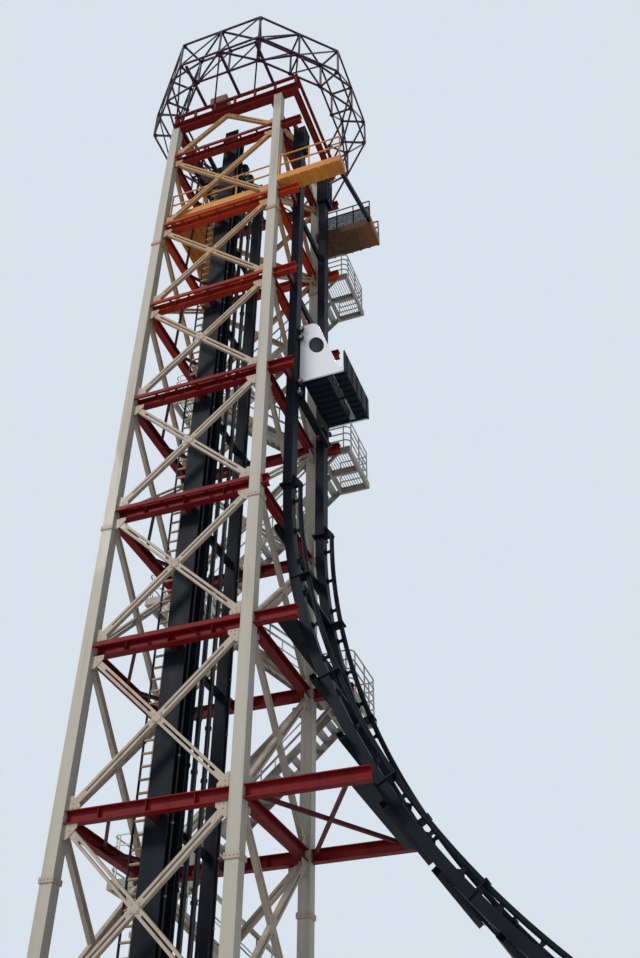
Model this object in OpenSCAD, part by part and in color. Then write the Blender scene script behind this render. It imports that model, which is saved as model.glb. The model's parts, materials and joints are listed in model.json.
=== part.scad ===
/* [Tower] */
// Distance between leg centres along the track
tower_w = 4060; // [3700:10:4400]
// Distance between leg centres across the track
tower_d = 3760; // [3500:10:4100]
// Side of a square leg
leg_w = 290; // [250:5:330]
// Height of the lowest ring of beams, at its top
base_level = 2150; // [1900:10:2500]
// Height of one bay of the tower
bay_h = 4010; // [3800:10:4200]
// Height of the half bay under the roof beams
top_bay_h = 1770; // [1500:10:2100]
// Thickness of a base plate
plate_t = 50; // [30:5:80]
// Side of a leg's base plate
plate_w = 760; // [700:10:900]
// Radius of an anchor hole
anchor_r = 24; // [16:1:30]
// Distance of the anchor holes from the leg's middle
anchor_off = 270; // [230:5:300]

/* [Beams and braces] */
// Depth of the beams of the lower levels
heavy_d = 290; // [260:10:340]
// Depth of the beams of the upper levels
light_d = 280; // [240:10:320]
// Width of a beam's flange
flange_w = 200; // [160:10:240]
// Thickness of a flange
flange_t = 22; // [14:1:30]
// Thickness of a web
web_t = 16; // [10:1:24]
// Width of a diagonal in the plane of its face
brace_w = 165; // [120:5:200]
// Thickness of a diagonal
brace_t = 110; // [80:5:120]
// Width of the slit between the two bars of a diagonal
slit_w = 45; // [30:5:60]
// Distance kept by a diagonal from a level it only passes
brace_gap = 60; // [40:5:90]
// Thickness of a gusset plate
gusset_t = 14; // [8:1:20]
// Side of a gusset plate
gusset_s = 320; // [260:10:400]

/* [Lift] */
// Distance of the lift and drop columns from the middle plane
gauge_y = 1150; // [1100:10:1200]
// Width of the near lift column
lift_w = 500; // [420:10:560]
// Depth of the near lift column
lift_d = 560; // [480:10:600]
// Radius of a lift guide tube
guide_r = 60; // [40:5:80]
// Spacing of the ladder rungs
rung_pitch = 300; // [280:10:360]

/* [Drop track] */
// Distance of the drop columns from the tower's middle
track_x = 2600; // [2500:10:2700]
// Height of the run-out girders' middle over the floor
runout_z = 1950; // [1800:50:2200]
// Radius of the curve at the girder's middle
bend_r = 16300; // [15900:50:16300]
// Size of a track girder along the radius
girder_h = 240; // [200:10:280]
// Size of a track girder across the track
girder_w = 260; // [200:10:300]
// Radius of a running rail
rail_r = 60; // [50:5:70]
// Distance from the girder's middle to the running rail
rail_off = 300; // [290:10:340]
// Length of a straight bay of the run-out
runout_bay = 3000; // [2600:50:3400]
// Number of straight bays
runout_bays = 2; // [1:1:3]

/* [Crown] */
// Distance from the crown's middle to an outer flat side
crown_a = 3720; // [3600:10:3800]
// Distance between the outer and inner chords of the crown
crown_band = 800; // [700:10:900]
// Height of the crown
crown_h = 1520; // [1300:10:1700]
// Thickness of a crown tube
crown_t = 62; // [50:2:80]

/* [Stair] */
// Width of a flight between its stringers
stair_w = 800; // [700:10:900]
// Number of treads in a full flight
tread_n = 18; // [14:1:20]
// Distance between the two lanes of the stair
lane_gap = 140; // [120:10:200]
// Length of a landing
landing_l = 950; // [900:10:1100]
// Height of the handrails
rail_h = 1100; // [1000:10:1200]

/* [Car] */
// Height of the car's frame over the start of the bend, in the pose of rest
car_rise = 3150; // [3000:50:3400]
// Height of the car's frame
car_h = 2950; // [2800:50:3100]
// Height of the car's floor over the frame's lower edge
floor_h = 700; // [600:50:800]
// Half the width of the car
car_y = 1050; // [1020:5:1080]
// Depth of the car from its back to the foot guard
car_d = 1360; // [1300:10:1500]
// Running clearance between wheel and track
wheel_gap = 0.5; // [0.3:0.1:0.9]

/* [Hidden] */
$fn = 48;

cream = [0.74, 0.69, 0.62];
red = [0.42, 0.06, 0.07];
slate = [0.10, 0.13, 0.16];
plum = [0.25, 0.10, 0.20];
grey = [0.55, 0.56, 0.54];
deck_tan = [0.66, 0.52, 0.33];
white = [0.86, 0.87, 0.88];

bays = 8;
joint_gap = 0.3;
heavy_levels = 3;
leg_x = tower_w / 2;
leg_y = tower_d / 2;
inner_w = tower_w - leg_w;
inner_d = tower_d - leg_w;
roof_z = base_level + bays * bay_h + top_bay_h;
beam_in = 130;
web_in = web_t / 2;
tie_w = 60;
tie_h = 110;
splice_z = [level(2) - 1420, level(4) - 610, level(7) - 1000];
splice_w = leg_w + 56;
splice_h = 120;
lift_y0 = gauge_y - lift_d / 2;
lift_y1 = gauge_y + lift_d / 2;
far_lift_w = 300;
far_lift_d = 260;
lift_top = roof_z - 400;
col_w = 250;
col_d = 340;
shoe_t = 40;
head_z = roof_z - 2800;
head_y = 240;
bend_z = runout_z + bend_r;
bend_x = track_x + bend_r;
arc_bays = 9;
arc_step = 90 / arc_bays;
arc_post_from = 5;
frame_a = 0.14;
seat_gap = 0.2;
weld_a = 0.001;
roof_d = 400;
roof_over = 730;
chord_t = 100;
chord_z = roof_z + roof_d + 400;
crown_x = 420;
crown_z = chord_z + chord_t + 80;
deck_z = level(7) + 680;
deck_t = 280;
far_deck_z = deck_z + 1250;
deck_x = track_x + 1750;

function level(i) = base_level + i * bay_h;
function arc_angle(z) = asin((bend_z - z) / bend_r);
function arc_x(z) = bend_x - bend_r * cos(arc_angle(z));
function cant_end(i) =
    i == 2 ? arc_x(level(2)) + 60 :
    i == 3 ? arc_x(level(3)) + 90 :
    i == 4 ? leg_x + leg_w / 2 + 180 : track_x + 300;
function cross_x(i) = arc_x(level(i) - depth(i) / 2) - 470;
function heavy(i) = i < heavy_levels;
function depth(i) = heavy(i) ? heavy_d : light_d;
function beam_y(i) = heavy(i) ? leg_y : leg_y - beam_in;
function brace_z0(i) = level(i) + (heavy(i) ? 0 : brace_gap);
function brace_z1(i) = level(i) - depth(i) - (heavy(i) ? 0 : brace_gap);

// A bar of width t from corner to corner of a rectangle, cut by its sides
function diagonal(w, h, t) =
    let (a = atan2(h, w), dx = t / 2 / sin(a), dz = t / 2 / cos(a))
    [[0, 0], [dx, 0], [w, h - dz], [w, h], [w - dx, h], [0, dz]];

// An I section along X with its top at z = 0
module i_beam(len, d, w = flange_w) {
    rotate([90, 0, 90])
        linear_extrude(len)
            polygon([
                [-w / 2, 0], [-w / 2, -flange_t], [-web_in, -flange_t],
                [-web_in, flange_t - d], [-w / 2, flange_t - d], [-w / 2, -d],
                [w / 2, -d], [w / 2, flange_t - d], [web_in, flange_t - d],
                [web_in, -flange_t], [w / 2, -flange_t], [w / 2, 0]
            ]);
}

// An outline in X and Z, made t thick about y = 0
module upright(t) {
    translate([0, t / 2, 0])
        rotate([90, 0, 0])
            linear_extrude(t) children();
}

module block(lo, hi) {
    translate(lo) cube(hi - lo);
}

// A slit along the line from the origin to [w, h], from distance s0 to s1
module slit(w, h, s0, s1) {
    rotate(atan2(h, w)) translate([s0, -slit_w / 2]) square([s1 - s0, slit_w]);
}

// Two flat bars with a slit between them, closed at both ends and in the middle
module twin_bar(w, h) {
    l = norm([w, h]);
    difference() {
        polygon(diagonal(w, h, brace_w));
        slit(w, h, 560, l / 2 - 240);
        slit(w, h, l / 2 + 240, l - 560);
    }
}

module x_brace(w, h) {
    upright(brace_t) {
        twin_bar(w, h);
        translate([w, 0]) mirror([1, 0]) twin_bar(w, h);
    }
}

// Two bars that rise from the feet of a half bay to the middle of its top
module chevron(w, h) {
    a = atan2(h, w / 2);
    dx = brace_w / 2 / sin(a);
    dz = brace_w / 2 / cos(a);
    m = (h - dz) / (w / 2 - dx / 2);
    l = norm([w / 2, m * w / 2]);
    upright(brace_t)
        difference() {
            polygon([
                [0, 0], [dx, 0], [w / 2, m * (w / 2 - dx)], [w - dx, 0], [w, 0],
                [w, dz], [w / 2 + dx / 2, h], [w / 2 - dx / 2, h], [0, dz]
            ]);
            slit(w / 2, m * w / 2, 560, l - 420);
            translate([w, 0]) mirror([1, 0]) slit(w / 2, m * w / 2, 560, l - 420);
        }
}

// All the diagonals of one face, from its left leg's inner side
module face_braces(w, z_low, z_high) {
    for (i = [0 : bays - 1])
        translate([-w / 2, 0, z_low[i]])
            x_brace(w, z_high[i + 1] - z_low[i]);
    translate([-w / 2, 0, z_low[bays]])
        chevron(w, roof_z - z_low[bays]);
    translate([-w / 2, 0, plate_t])
        chevron(w, z_high[0] - plate_t);
}

module wide_face_braces() {
    face_braces(inner_w, [for (i = [0 : bays]) brace_z0(i)], [for (i = [0 : bays]) brace_z1(i)]);
}

module side_face_braces() {
    rotate([0, 0, 90])
        face_braces(inner_d, [for (i = [0 : bays]) level(i)],
                    [for (i = [0 : bays]) level(i) - light_d]);
}

// A flat panel of posts and rails as one outline with rectangular openings
module barrier(len, h, bay, rails = 3, bar = 40, t = 40) {
    n = max(1, round(len / bay));
    px = (len - bar) / n;
    pz = (h - bar) / rails;
    outer = [[0, 0], [len, 0], [len, h], [0, h]];
    holes = [
        for (i = [0 : n - 1]) for (j = [0 : rails - 1])
            let (x = bar + i * px, z = j * pz + (j > 0 ? bar : 0))
            [[x, z], [x, (j + 1) * pz], [x + px - bar, (j + 1) * pz], [x + px - bar, z]]
    ];
    kept = [for (i = [0 : len(holes) - 1]) if (holes[i][0][1] > 1) holes[i]];
    pts = concat(outer, [for (q = kept) for (p = q) p]);
    rings = concat([[0, 1, 2, 3]], [for (i = [0 : len(kept) - 1]) [for (k = [0 : 3]) 4 + 4 * i + k]]);
    upright(t)
        difference() {
            polygon(pts, rings);
            for (i = [0 : n - 1])
                translate([bar + i * px, -1]) square([px - bar, pz + 1]);
        }
}

module at_arc(a) {
    translate([bend_x, 0, bend_z])
        rotate([0, -a, 0])
            translate([-bend_r, 0, 0]) children();
}

// A profile in radius and width, swept round the bend from angle a over da
module arc_sweep(a, da) {
    translate([bend_x, 0, bend_z])
        rotate([90, 0, 0])
            rotate([0, 0, 180 + a])
                rotate_extrude(angle = da, $fn = 96) children();
}

module both_sides() {
    children();
    mirror([0, 1, 0]) children();
}

// Legs and feet

module leg(sx, sy) {
    color(cream)
        translate([sx * leg_x - leg_w / 2, sy * leg_y - leg_w / 2, plate_t])
            cube([leg_w, leg_w, roof_z - plate_t]);
}

module leg_near_left() leg(-1, -1);
module leg_near_right() leg(1, -1);
module leg_far_left() leg(-1, 1);
module leg_far_right() leg(1, 1);

module anchor_plates() {
    color(grey)
        for (sx = [-1, 1], sy = [-1, 1])
            translate([sx * leg_x, sy * leg_y, 0])
                difference() {
                    translate([-plate_w / 2, -plate_w / 2, 0]) cube([plate_w, plate_w, plate_t]);
                    for (hx = [-1, 1], hy = [-1, 1])
                        translate([hx * anchor_off, hy * anchor_off, -1])
                            cylinder(r = anchor_r, h = plate_t + 2);
                }
}

module at_splices() {
    for (sx = [-1, 1], sy = [-1, 1], z = splice_z)
        translate([sx * leg_x, sy * leg_y, z - splice_h / 2])
            linear_extrude(splice_h) children();
}

module leg_splices() {
    color(cream)
        at_splices()
            difference() {
                square(splice_w, center = true);
                square(leg_w, center = true);
            }
}

// Rings of beams

module wide_beams() {
    for (i = [0 : bays])
        translate([-inner_w / 2, beam_y(i), level(i)]) i_beam(inner_w, depth(i));
    for (i = [2 : bays])
        translate([leg_x + leg_w / 2, leg_y, level(i)])
            i_beam(cant_end(i) - leg_x - leg_w / 2, depth(i));
}

module near_beams() {
    color(red) mirror([0, 1, 0]) wide_beams();
}

module far_beams() {
    color(red) wide_beams();
}

module side_beams() {
    for (i = [0 : bays])
        translate([0, -inner_d / 2, level(i)])
            rotate([0, 0, 90]) i_beam(inner_d, light_d);
}

module left_beams() {
    color(red) translate([-leg_x, 0, 0]) side_beams();
}

module right_beams() {
    color(red) translate([leg_x, 0, 0]) side_beams();
}

// Slim edge members outside the upper beams, battened to them
module edge_ties() {
    y_out = leg_y + leg_w / 2;
    y_beam = beam_y(heavy_levels) + flange_w / 2;
    color(red)
        for (i = [heavy_levels : bays])
            both_sides() {
                block([-inner_w / 2, y_out - tie_w, level(i) - tie_h],
                      [inner_w / 2, y_out, level(i)]);
                for (k = [-2 : 2])
                    block([k * 620 - 30, y_beam, level(i) - tie_w],
                          [k * 620 + 30, y_out - tie_w, level(i)]);
            }
}

module near_braces() {
    color(cream) translate([0, -leg_y, 0]) wide_face_braces();
}

module far_braces() {
    color(cream) translate([0, leg_y, 0]) wide_face_braces();
}

module left_braces() {
    color(cream) translate([-leg_x, 0, 0]) side_face_braces();
}

module right_braces() {
    color(cream) translate([leg_x, 0, 0]) side_face_braces();
}

module corner_plate() {
    s = gusset_s;
    linear_extrude(gusset_t)
        polygon([[0, 0], [s, 0], [s, s * 0.3], [s * 0.35, s], [0, s]]);
}

// Gussets lie on the outer side of the diagonals, against leg and beam
module wide_face_gussets() {
    y = brace_t / 2;
    for (sx = [-1, 1])
        scale([sx, 1, 1])
            translate([-inner_w / 2, y, 0]) {
                for (i = [0 : bays])
                    translate([0, gusset_t, brace_z0(i)])
                        rotate([90, 0, 0]) corner_plate();
                for (i = [0 : bays])
                    translate([0, gusset_t, brace_z1(i)])
                        rotate([90, 0, 0]) mirror([0, 1, 0]) corner_plate();
            }
    for (i = [0 : bays - 1])
        translate([-gusset_s / 3, y, (brace_z0(i) + brace_z1(i + 1)) / 2 - gusset_s / 3])
            cube([gusset_s / 1.5, gusset_t, gusset_s / 1.5]);
}

module side_face_gussets() {
    y = brace_t / 2;
    for (sx = [-1, 1])
        scale([sx, 1, 1])
            translate([-inner_d / 2, y, 0]) {
                for (i = [0 : bays])
                    translate([0, gusset_t, level(i)])
                        rotate([90, 0, 0]) corner_plate();
                for (i = [0 : bays])
                    translate([0, gusset_t, level(i) - light_d])
                        rotate([90, 0, 0]) mirror([0, 1, 0]) corner_plate();
            }
}

module brace_gussets() {
    color(cream)
        difference() {
            union() {
                both_sides() translate([0, leg_y, 0]) wide_face_gussets();
                for (r = [90, -90])
                    rotate([0, 0, r]) translate([0, leg_x, 0]) side_face_gussets();
            }
            at_splices() square(splice_w, center = true);
        }
}

// Flat bracing inside each ring, from the left beams' middle to the long beams
module plan_braces() {
    t = 80;
    x_web = -leg_x + web_in;
    run = 1150;
    color(plum) {
        for (i = [0 : bays])
            both_sides()
                translate([x_web, -beam_y(i) + web_in, level(i) - light_d / 2 - t / 2])
                    linear_extrude(t)
                        let (rise = beam_y(i) - web_in - 60, a = atan2(rise, run),
                             dx = t / sin(a) / 2, dy = t / cos(a) / 2)
                        polygon([[0, rise - dy], [0, rise + dy], [run + dx, 0], [run - dx, 0]]);
        translate([leg_x + leg_w / 2 + 40, -leg_y + web_in, level(2) - light_d / 2 - t / 2])
            linear_extrude(t) {
                w = cross_x(2) - leg_x - leg_w / 2 - 40;
                d = tower_d - web_t;
                polygon(diagonal(w, d, t));
                translate([w, 0]) mirror([1, 0]) polygon(diagonal(w, d, t));
            }
    }
}

// Lift shaft

module lift_columns() {
    x = lift_w / 2;
    f = 30;
    color(slate) {
        translate([0, -gauge_y, plate_t])
            linear_extrude(lift_top - plate_t)
                let (y = lift_d / 2)
                polygon([
                    [-x, -y], [x, -y], [x, f - y], [web_t, f - y], [web_t, y - f], [x, y - f],
                    [x, y], [-x, y], [-x, y - f], [-web_t, y - f], [-web_t, f - y], [-x, f - y]
                ]);
        translate([-far_lift_w / 2, gauge_y - far_lift_d / 2, plate_t])
            cube([far_lift_w, far_lift_d, lift_top - plate_t]);
    }
}

// The lift shaft's sole plate, in the middle between the legs
module lift_base_plate() {
    color(slate)
        block([-lift_w / 2 - 370, -lift_y1 - 120, 0], [lift_w / 2 + 370, lift_y1 + 120, plate_t]);
}

module lift_guides() {
    color(slate)
        for (y = [-480, -110, 400])
            translate([guide_r, y, plate_t]) cylinder(r = guide_r, h = level(bays) - 200 - plate_t);
}

module lift_ties() {
    color(slate)
        for (i = [0 : bays])
            block([-150, -gauge_y + lift_d / 2, level(i) - 200],
                  [0, gauge_y - far_lift_d / 2, level(i) - 60]);
}

module lift_brackets() {
    color(plum)
        for (i = [0 : bays]) {
            block([-60, -beam_y(i) + flange_w / 2, level(i) - depth(i)],
                  [60, -lift_y1, level(i)]);
            block([-60, gauge_y + far_lift_d / 2, level(i) - depth(i)],
                  [60, beam_y(i) - flange_w / 2, level(i)]);
        }
}

module lift_ladder() {
    w = 320;
    s = 40;
    n = floor((deck_z + 1500) / rung_pitch);
    outer = [[0, 0], [w, 0], [w, n * rung_pitch + s], [0, n * rung_pitch + s]];
    holes = [
        for (i = [0 : n - 1])
            let (z = i * rung_pitch + s)
            [[s, z], [s, z + rung_pitch - s], [w - s, z + rung_pitch - s], [w - s, z]]
    ];
    pts = concat(outer, [for (q = holes) for (p = q) p]);
    rings = concat([[0, 1, 2, 3]], [for (i = [0 : n - 1]) [for (k = [0 : 3]) 4 + 4 * i + k]]);
    color(slate)
        translate([-lift_w / 2 - w, -lift_y1 + 20, plate_t])
            upright(40) polygon(pts, rings);
}

// Roof and machinery

module roof_beams() {
    x0 = -leg_x - leg_w / 2;
    x1 = leg_x + roof_over;
    color(red) {
        both_sides()
            translate([x0, leg_y, roof_z + roof_d]) i_beam(x1 - x0, roof_d, leg_w);
        for (x = [-leg_x, leg_x - 300, leg_x + roof_over - 150])
            translate([x, -leg_y + leg_w / 2 + joint_gap, roof_z + roof_d])
                rotate([0, 0, 90]) i_beam(inner_d - 2 * joint_gap, roof_d, 160);
    }
}

module roof_chords() {
    x0 = -leg_x - leg_w / 2;
    x1 = leg_x + roof_over;
    y = leg_y + leg_w / 2 - chord_t;
    color(red) {
        both_sides() {
            block([x0, y, chord_z], [x1, y + chord_t, chord_z + chord_t]);
            for (k = [0 : 6])
                block([x0 + 40 + k * (x1 - x0 - 160) / 6, y + 10, roof_z + roof_d],
                      [x0 + 120 + k * (x1 - x0 - 160) / 6, y + chord_t - 10, chord_z]);
        }
        for (x = [x0, x1 - chord_t])
            block([x, -y + joint_gap, chord_z],
                  [x + chord_t, y - joint_gap, chord_z + chord_t]);
    }
}

module roof_cabinet() {
    color([0.35, 0.16, 0.13])
        block([-750, -leg_y - 90, chord_z + chord_t],
              [-100, -leg_y + 330, chord_z + chord_t + 480]);
}

module hoist_winch() {
    z = level(bays);
    skid_y = leg_y - brace_t / 2 - joint_gap;
    color(slate) {
        for (x = [-1500, -800])
            block([x - 60, -skid_y, z], [x + 60, skid_y, z + 160]);
        block([-1560, -480, z + 160], [-740, -420, z + 900]);
        block([-1560, 420, z + 160], [-740, 480, z + 900]);
        translate([-1150, -420, z + 560]) rotate([-90, 0, 0]) cylinder(r = 300, h = 840);
        block([-1450, 480, z + 360], [-850, 1000, z + 800]);
    }
}

module track_heads() {
    color(slate)
        for (s = [-1, 1])
            block([track_x - 170, s * gauge_y - head_y, head_z],
                  [track_x + 240, s * gauge_y + head_y, level(bays) + 150]);
}

// Drop track

module track_columns() {
    color(slate)
        for (s = [-1, 1]) {
            block([track_x - col_w / 2, s * gauge_y - col_d / 2, bend_z + shoe_t + joint_gap],
                  [track_x + col_w / 2, s * gauge_y + col_d / 2, head_z]);
            block([track_x - col_w / 2 - 60, s * gauge_y - col_d / 2 - 60, bend_z],
                  [track_x + col_w / 2, s * gauge_y + col_d / 2 + 60, bend_z + shoe_t]);
            translate([0, s * gauge_y, bend_z]) rail_shoe();
        }
}

// Wedge before the column's foot that leads onto the running rail
module rail_shoe() {
    x0 = track_x + col_w / 2 + joint_gap;
    x1 = track_x + rail_off + rail_r;
    upright(2 * rail_r) polygon([[x0, 0], [x1, 0], [x1, 60], [x0, 390]]);
}

module track_brackets() {
    y = leg_y - flange_w / 2;
    color(plum)
        for (i = [5 : bays])
            both_sides()
                block([track_x - 45, i < bays ? gauge_y + col_d / 2 : gauge_y + head_y,
                       level(i) - light_d],
                      [track_x + 45, y, level(i)]);
}

module girder_profile() {
    for (s = [-1, 1])
        translate([bend_r - girder_h / 2, s * gauge_y - girder_w / 2])
            square([girder_h, girder_w]);
}

// Cuts its children back to the girders' underside at angle a of the bend
module under_arc(a) {
    difference() {
        children();
        at_arc(a)
            block([-girder_h / 2 - seat_gap, -tower_d, -3000], [3000, tower_d, 3000]);
    }
}

module cross_girder(i, y) {
    z = level(i);
    d = depth(i);
    under_arc(arc_angle(z - d / 2))
        block([cross_x(i), -y, z - d], [cross_x(i) + 1200, y, z]);
}

// Girders that carry the bend on the ends of the tower's long beams
module track_cross_girders() {
    y = leg_y - flange_w / 2;
    color(slate)
        for (i = [2, 3]) cross_girder(i, y);
}

module track_girders() {
    color(slate) {
        for (k = [0 : arc_bays - 1])
            arc_sweep(k * arc_step + (k > 0 ? frame_a / 2 : 0),
                      arc_step - (k > 0 ? frame_a : frame_a / 2))
                girder_profile();
        for (k = [0 : runout_bays - 1], s = [-1, 1])
            translate([bend_x + k * runout_bay + 20, s * gauge_y - girder_w / 2,
                       bend_z - bend_r - girder_h / 2])
                cube([runout_bay - 40, girder_w, girder_h]);
    }
}

module track_rails() {
    color(slate) {
        for (k = [0 : arc_bays - 1], s = [-1, 1])
            arc_sweep(k * arc_step + (k > 0 ? frame_a / 2 : 0),
                      arc_step - (k > 0 ? frame_a : frame_a / 2))
                translate([bend_r - rail_off, s * gauge_y]) circle(r = rail_r, $fn = 24);
        for (k = [0 : runout_bays - 1], s = [-1, 1])
            translate([bend_x + k * runout_bay + 20, s * gauge_y, bend_z - bend_r + rail_off])
                rotate([0, 90, 0]) cylinder(r = rail_r, h = runout_bay - 40, $fn = 24);
    }
}

// Plates that join the girders and rails of neighbouring bays
module track_frames() {
    r0 = bend_r - rail_off - rail_r - 30;
    r1 = bend_r + girder_h / 2;
    color(slate) {
        for (k = [1 : arc_bays], s = [-1, 1])
            arc_sweep(k * arc_step - frame_a / 2 + weld_a, frame_a / (k == arc_bays ? 2 : 1) - 2 * weld_a)
                translate([r0, s * gauge_y - girder_w / 2 - 30])
                    square([r1 - r0, girder_w + 60]);
        for (k = [0 : runout_bays], s = [-1, 1])
            block([bend_x + k * runout_bay - (k > 0 ? 20 : 0), s * gauge_y - girder_w / 2 - 30,
                   bend_z - r1],
                  [bend_x + k * runout_bay + 20, s * gauge_y + girder_w / 2 + 30, bend_z - r0]);
    }
}

module track_ties() {
    half = gauge_y - girder_w / 2 - 30 - seat_gap;
    y_col = gauge_y - col_d / 2;
    color(slate) {
        for (k = [1 : arc_bays])
            at_arc(k * arc_step) block([-girder_h / 2 + 40, -half, -60], [girder_h / 2 - 20, half, 60]);
        for (k = [1 : runout_bays])
            translate([bend_x + k * runout_bay, 0, bend_z - bend_r])
                block([-60, -half, -girder_h / 2 + 20], [60, half, girder_h / 2 - 40]);
        for (i = [5 : bays - 1])
            block([track_x - col_w / 2, -y_col, level(i) - light_d],
                  [track_x - col_w / 2 + 90, y_col, level(i)]);
    }
}

// Trestles under the run-out, with saddles cut to the girders' underside
module trestle(x, top) {
    w = 220;
    for (s = [-1, 1]) {
        block([x - w / 2, s * gauge_y - w / 2, shoe_t + joint_gap],
              [x + w / 2, s * gauge_y + w / 2, top]);
        block([x - 260, s * gauge_y - 260, 0], [x + 260, s * gauge_y + 260, shoe_t]);
    }
    block([x - 70, -gauge_y + w / 2 + joint_gap, top * 0.55 - 80],
          [x + 70, gauge_y - w / 2 - joint_gap, top * 0.55 + 80]);
}

module track_posts() {
    color(slate) {
        for (k = [arc_post_from : arc_bays - 1])
            under_arc(k * arc_step)
                trestle(bend_x - bend_r * cos(k * arc_step), bend_z - bend_r * sin(k * arc_step));
        for (k = [0 : runout_bays])
            trestle(bend_x + k * runout_bay, bend_z - bend_r - girder_h / 2);
    }
}

// Crown

// Point k of 16 round an octagon of apothem a, half steps allowed
function crown_pt(k, a) =
    let (t = k * 22.5, u = ((t + 22.5) % 45) - 22.5, r = a / cos(u))
    [r * cos(t), r * sin(t)];

function shrink(p, q, s, d) =
    let (
        c = (p + q + s) / 3,
        area = abs((q[0] - p[0]) * (s[1] - p[1]) - (s[0] - p[0]) * (q[1] - p[1])) / 2,
        per = norm(q - p) + norm(s - q) + norm(p - s),
        i = (norm(q - s) * p + norm(p - s) * q + norm(p - q) * s) / per,
        f = 1 - d / (2 * area / per)
    )
    [i + f * (p - i), i + f * (q - i), i + f * (s - i)];

// One flat side of a horizontal ring, triangulated between its two chords
module ring_side(m) {
    h = crown_t / 2;
    k0 = 2 * m - 1;
    ai = crown_a - crown_band;
    o = [for (j = [0 : 2]) crown_pt(k0 + j, crown_a)];
    n = [for (j = [0 : 2]) crown_pt(k0 + j, ai)];
    oo = [for (j = [0, 2]) crown_pt(k0 + j, crown_a + h)];
    nn = [for (j = [0, 2]) crown_pt(k0 + j, ai - h)];
    tri = [
        shrink(o[0], o[1], n[0], h), shrink(n[0], o[1], n[1], h),
        shrink(n[1], o[1], n[2], h), shrink(o[1], o[2], n[2], h)
    ];
    pts = concat([oo[0], oo[1], nn[1], nn[0]], [for (q = tri) for (p = q) p]);
    linear_extrude(crown_t)
        polygon(pts, concat([[0, 1, 2, 3]], [for (i = [0 : 3]) [for (k = [0 : 2]) 4 + 3 * i + k]]));
}

module rings(first) {
    color(plum)
        translate([crown_x, 0, 0])
            for (m = [first : 2 : 7], z = [crown_z, crown_z + crown_h - crown_t])
                translate([0, 0, z]) ring_side(m);
}

module crown_rings_a() rings(0);
module crown_rings_b() rings(1);

module crown_posts() {
    h = crown_h - 2 * crown_t - 2 * seat_gap;
    color(plum)
        translate([crown_x, 0, crown_z + crown_t + seat_gap])
            for (k = [0 : 15], a = [crown_a, crown_a - crown_band])
                let (p = crown_pt(k, a))
                translate([p[0], p[1], 0])
                    rotate([0, 0, k * 22.5])
                        translate([-crown_t / 2, -crown_t / 2, 0]) cube([crown_t, crown_t, h]);
}

// One diagonal in each bay of the outer and inner faces
module crown_lacing() {
    h = crown_h - 2 * crown_t;
    color(plum)
        translate([crown_x, 0, crown_z + crown_t])
            for (k = [0 : 15], a = [crown_a, crown_a - crown_band])
                let (p = crown_pt(k, a), q = crown_pt(k + 1, a), d = q - p, l = norm(d))
                translate([p[0], p[1], 0])
                    rotate([0, 0, atan2(d[1], d[0])])
                        translate([crown_t * 0.72, 0, 0])
                            upright(40) polygon(diagonal(l - crown_t * 1.44, h, 44));
}

// Bars that carry the crown on the roof's upper chords
module crown_outriggers() {
    y0 = leg_y + leg_w / 2 - chord_t;
    y1 = crown_a - crown_t;
    color(plum)
        both_sides()
            for (x = [-900, 450, 1800])
                block([x - 50, y0, chord_z + chord_t], [x + 50, y1, crown_z]);
}

// Decks and railings

module tower_decks() {
    zb = deck_z - deck_t;
    zf = level(7);
    x_leg = inner_w / 2;
    y_far = leg_y - brace_t / 2 - 15;
    color(deck_tan) {
        block([-x_leg + 30, -y_far, zb], [x_leg - 30, -lift_y1 - 10, deck_z]);
        block([-x_leg + 30, -lift_y1 - 10 + joint_gap, zb], [-lift_w / 2 - 420, y_far, deck_z]);
        for (x = [-1500, 1500])
            block([x - 50, -y_far, zf], [x + 50, -y_far + 60, zb]);
        block([leg_x + leg_w / 2, -leg_y - leg_w / 2, zb], [deck_x, -gauge_y - 350, deck_z]);
        block([leg_x + leg_w / 2, gauge_y + 350, far_deck_z - deck_t],
              [deck_x - 100, leg_y + 620, far_deck_z]);
    }
}

module deck_rails() {
    x0 = leg_x + leg_w / 2;
    color(deck_tan) {
        translate([x0 + 20, -leg_y - leg_w / 2 + 20, deck_z])
            barrier(deck_x - x0 - 20, rail_h, 1000, 2);
        translate([x0 + 20, leg_y + 600, far_deck_z])
            barrier(deck_x - x0 - 120, rail_h, 1000, 3);
        translate([-inner_w / 2 + 60, -leg_y + brace_t / 2 + 40, deck_z])
            barrier(inner_w - 120, rail_h, 1200, 2);
    }
}

// Sloping edge member from the near deck's end to the far one's
module deck_link() {
    y = gauge_y + 350;
    color(slate)
        translate([deck_x - 220, 0, 0])
            rotate([90, 0, 90])
                linear_extrude(120)
                    polygon([
                        [-y, deck_z - 160], [y, far_deck_z - 160], [y, far_deck_z], [-y, deck_z]
                    ]);
}

// Stair on the far side, one flight a bay in two lanes

stair_y = leg_y + leg_w / 2 + 60;
stair_end = stair_y + 2 * stair_w + lane_gap + 70;
flight_x = 2200;
step_t = 40;

// Even landings lie on the left, odd ones on the right
function landing_side(i) = i % 2 == 0 ? 1 : 0;
function flight_rise(i) = i == 0 ? level(0) : bay_h;
function flight_run(i) = i == 0 ? flight_x : 2 * flight_x;
function lane_y(i) = stair_y + (i % 2) * (stair_w + lane_gap);

module flight_at(i) {
    translate([0, 0, level(i) - flight_rise(i)])
        mirror([landing_side(i), 0, 0]) children();
}

// One flight's slanted side: its lower end stands on the landing it leaves
module stringer(i) {
    run = flight_run(i);
    rise = flight_rise(i);
    upright(20)
        polygon([
            [i == 0 ? 0 : -60, 0], [260, 0], [run, rise - 250], [run, rise - 30],
            [run - 60, rise - 30], [0, 190], [i == 0 ? 0 : -60, 130]
        ]);
}

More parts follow.
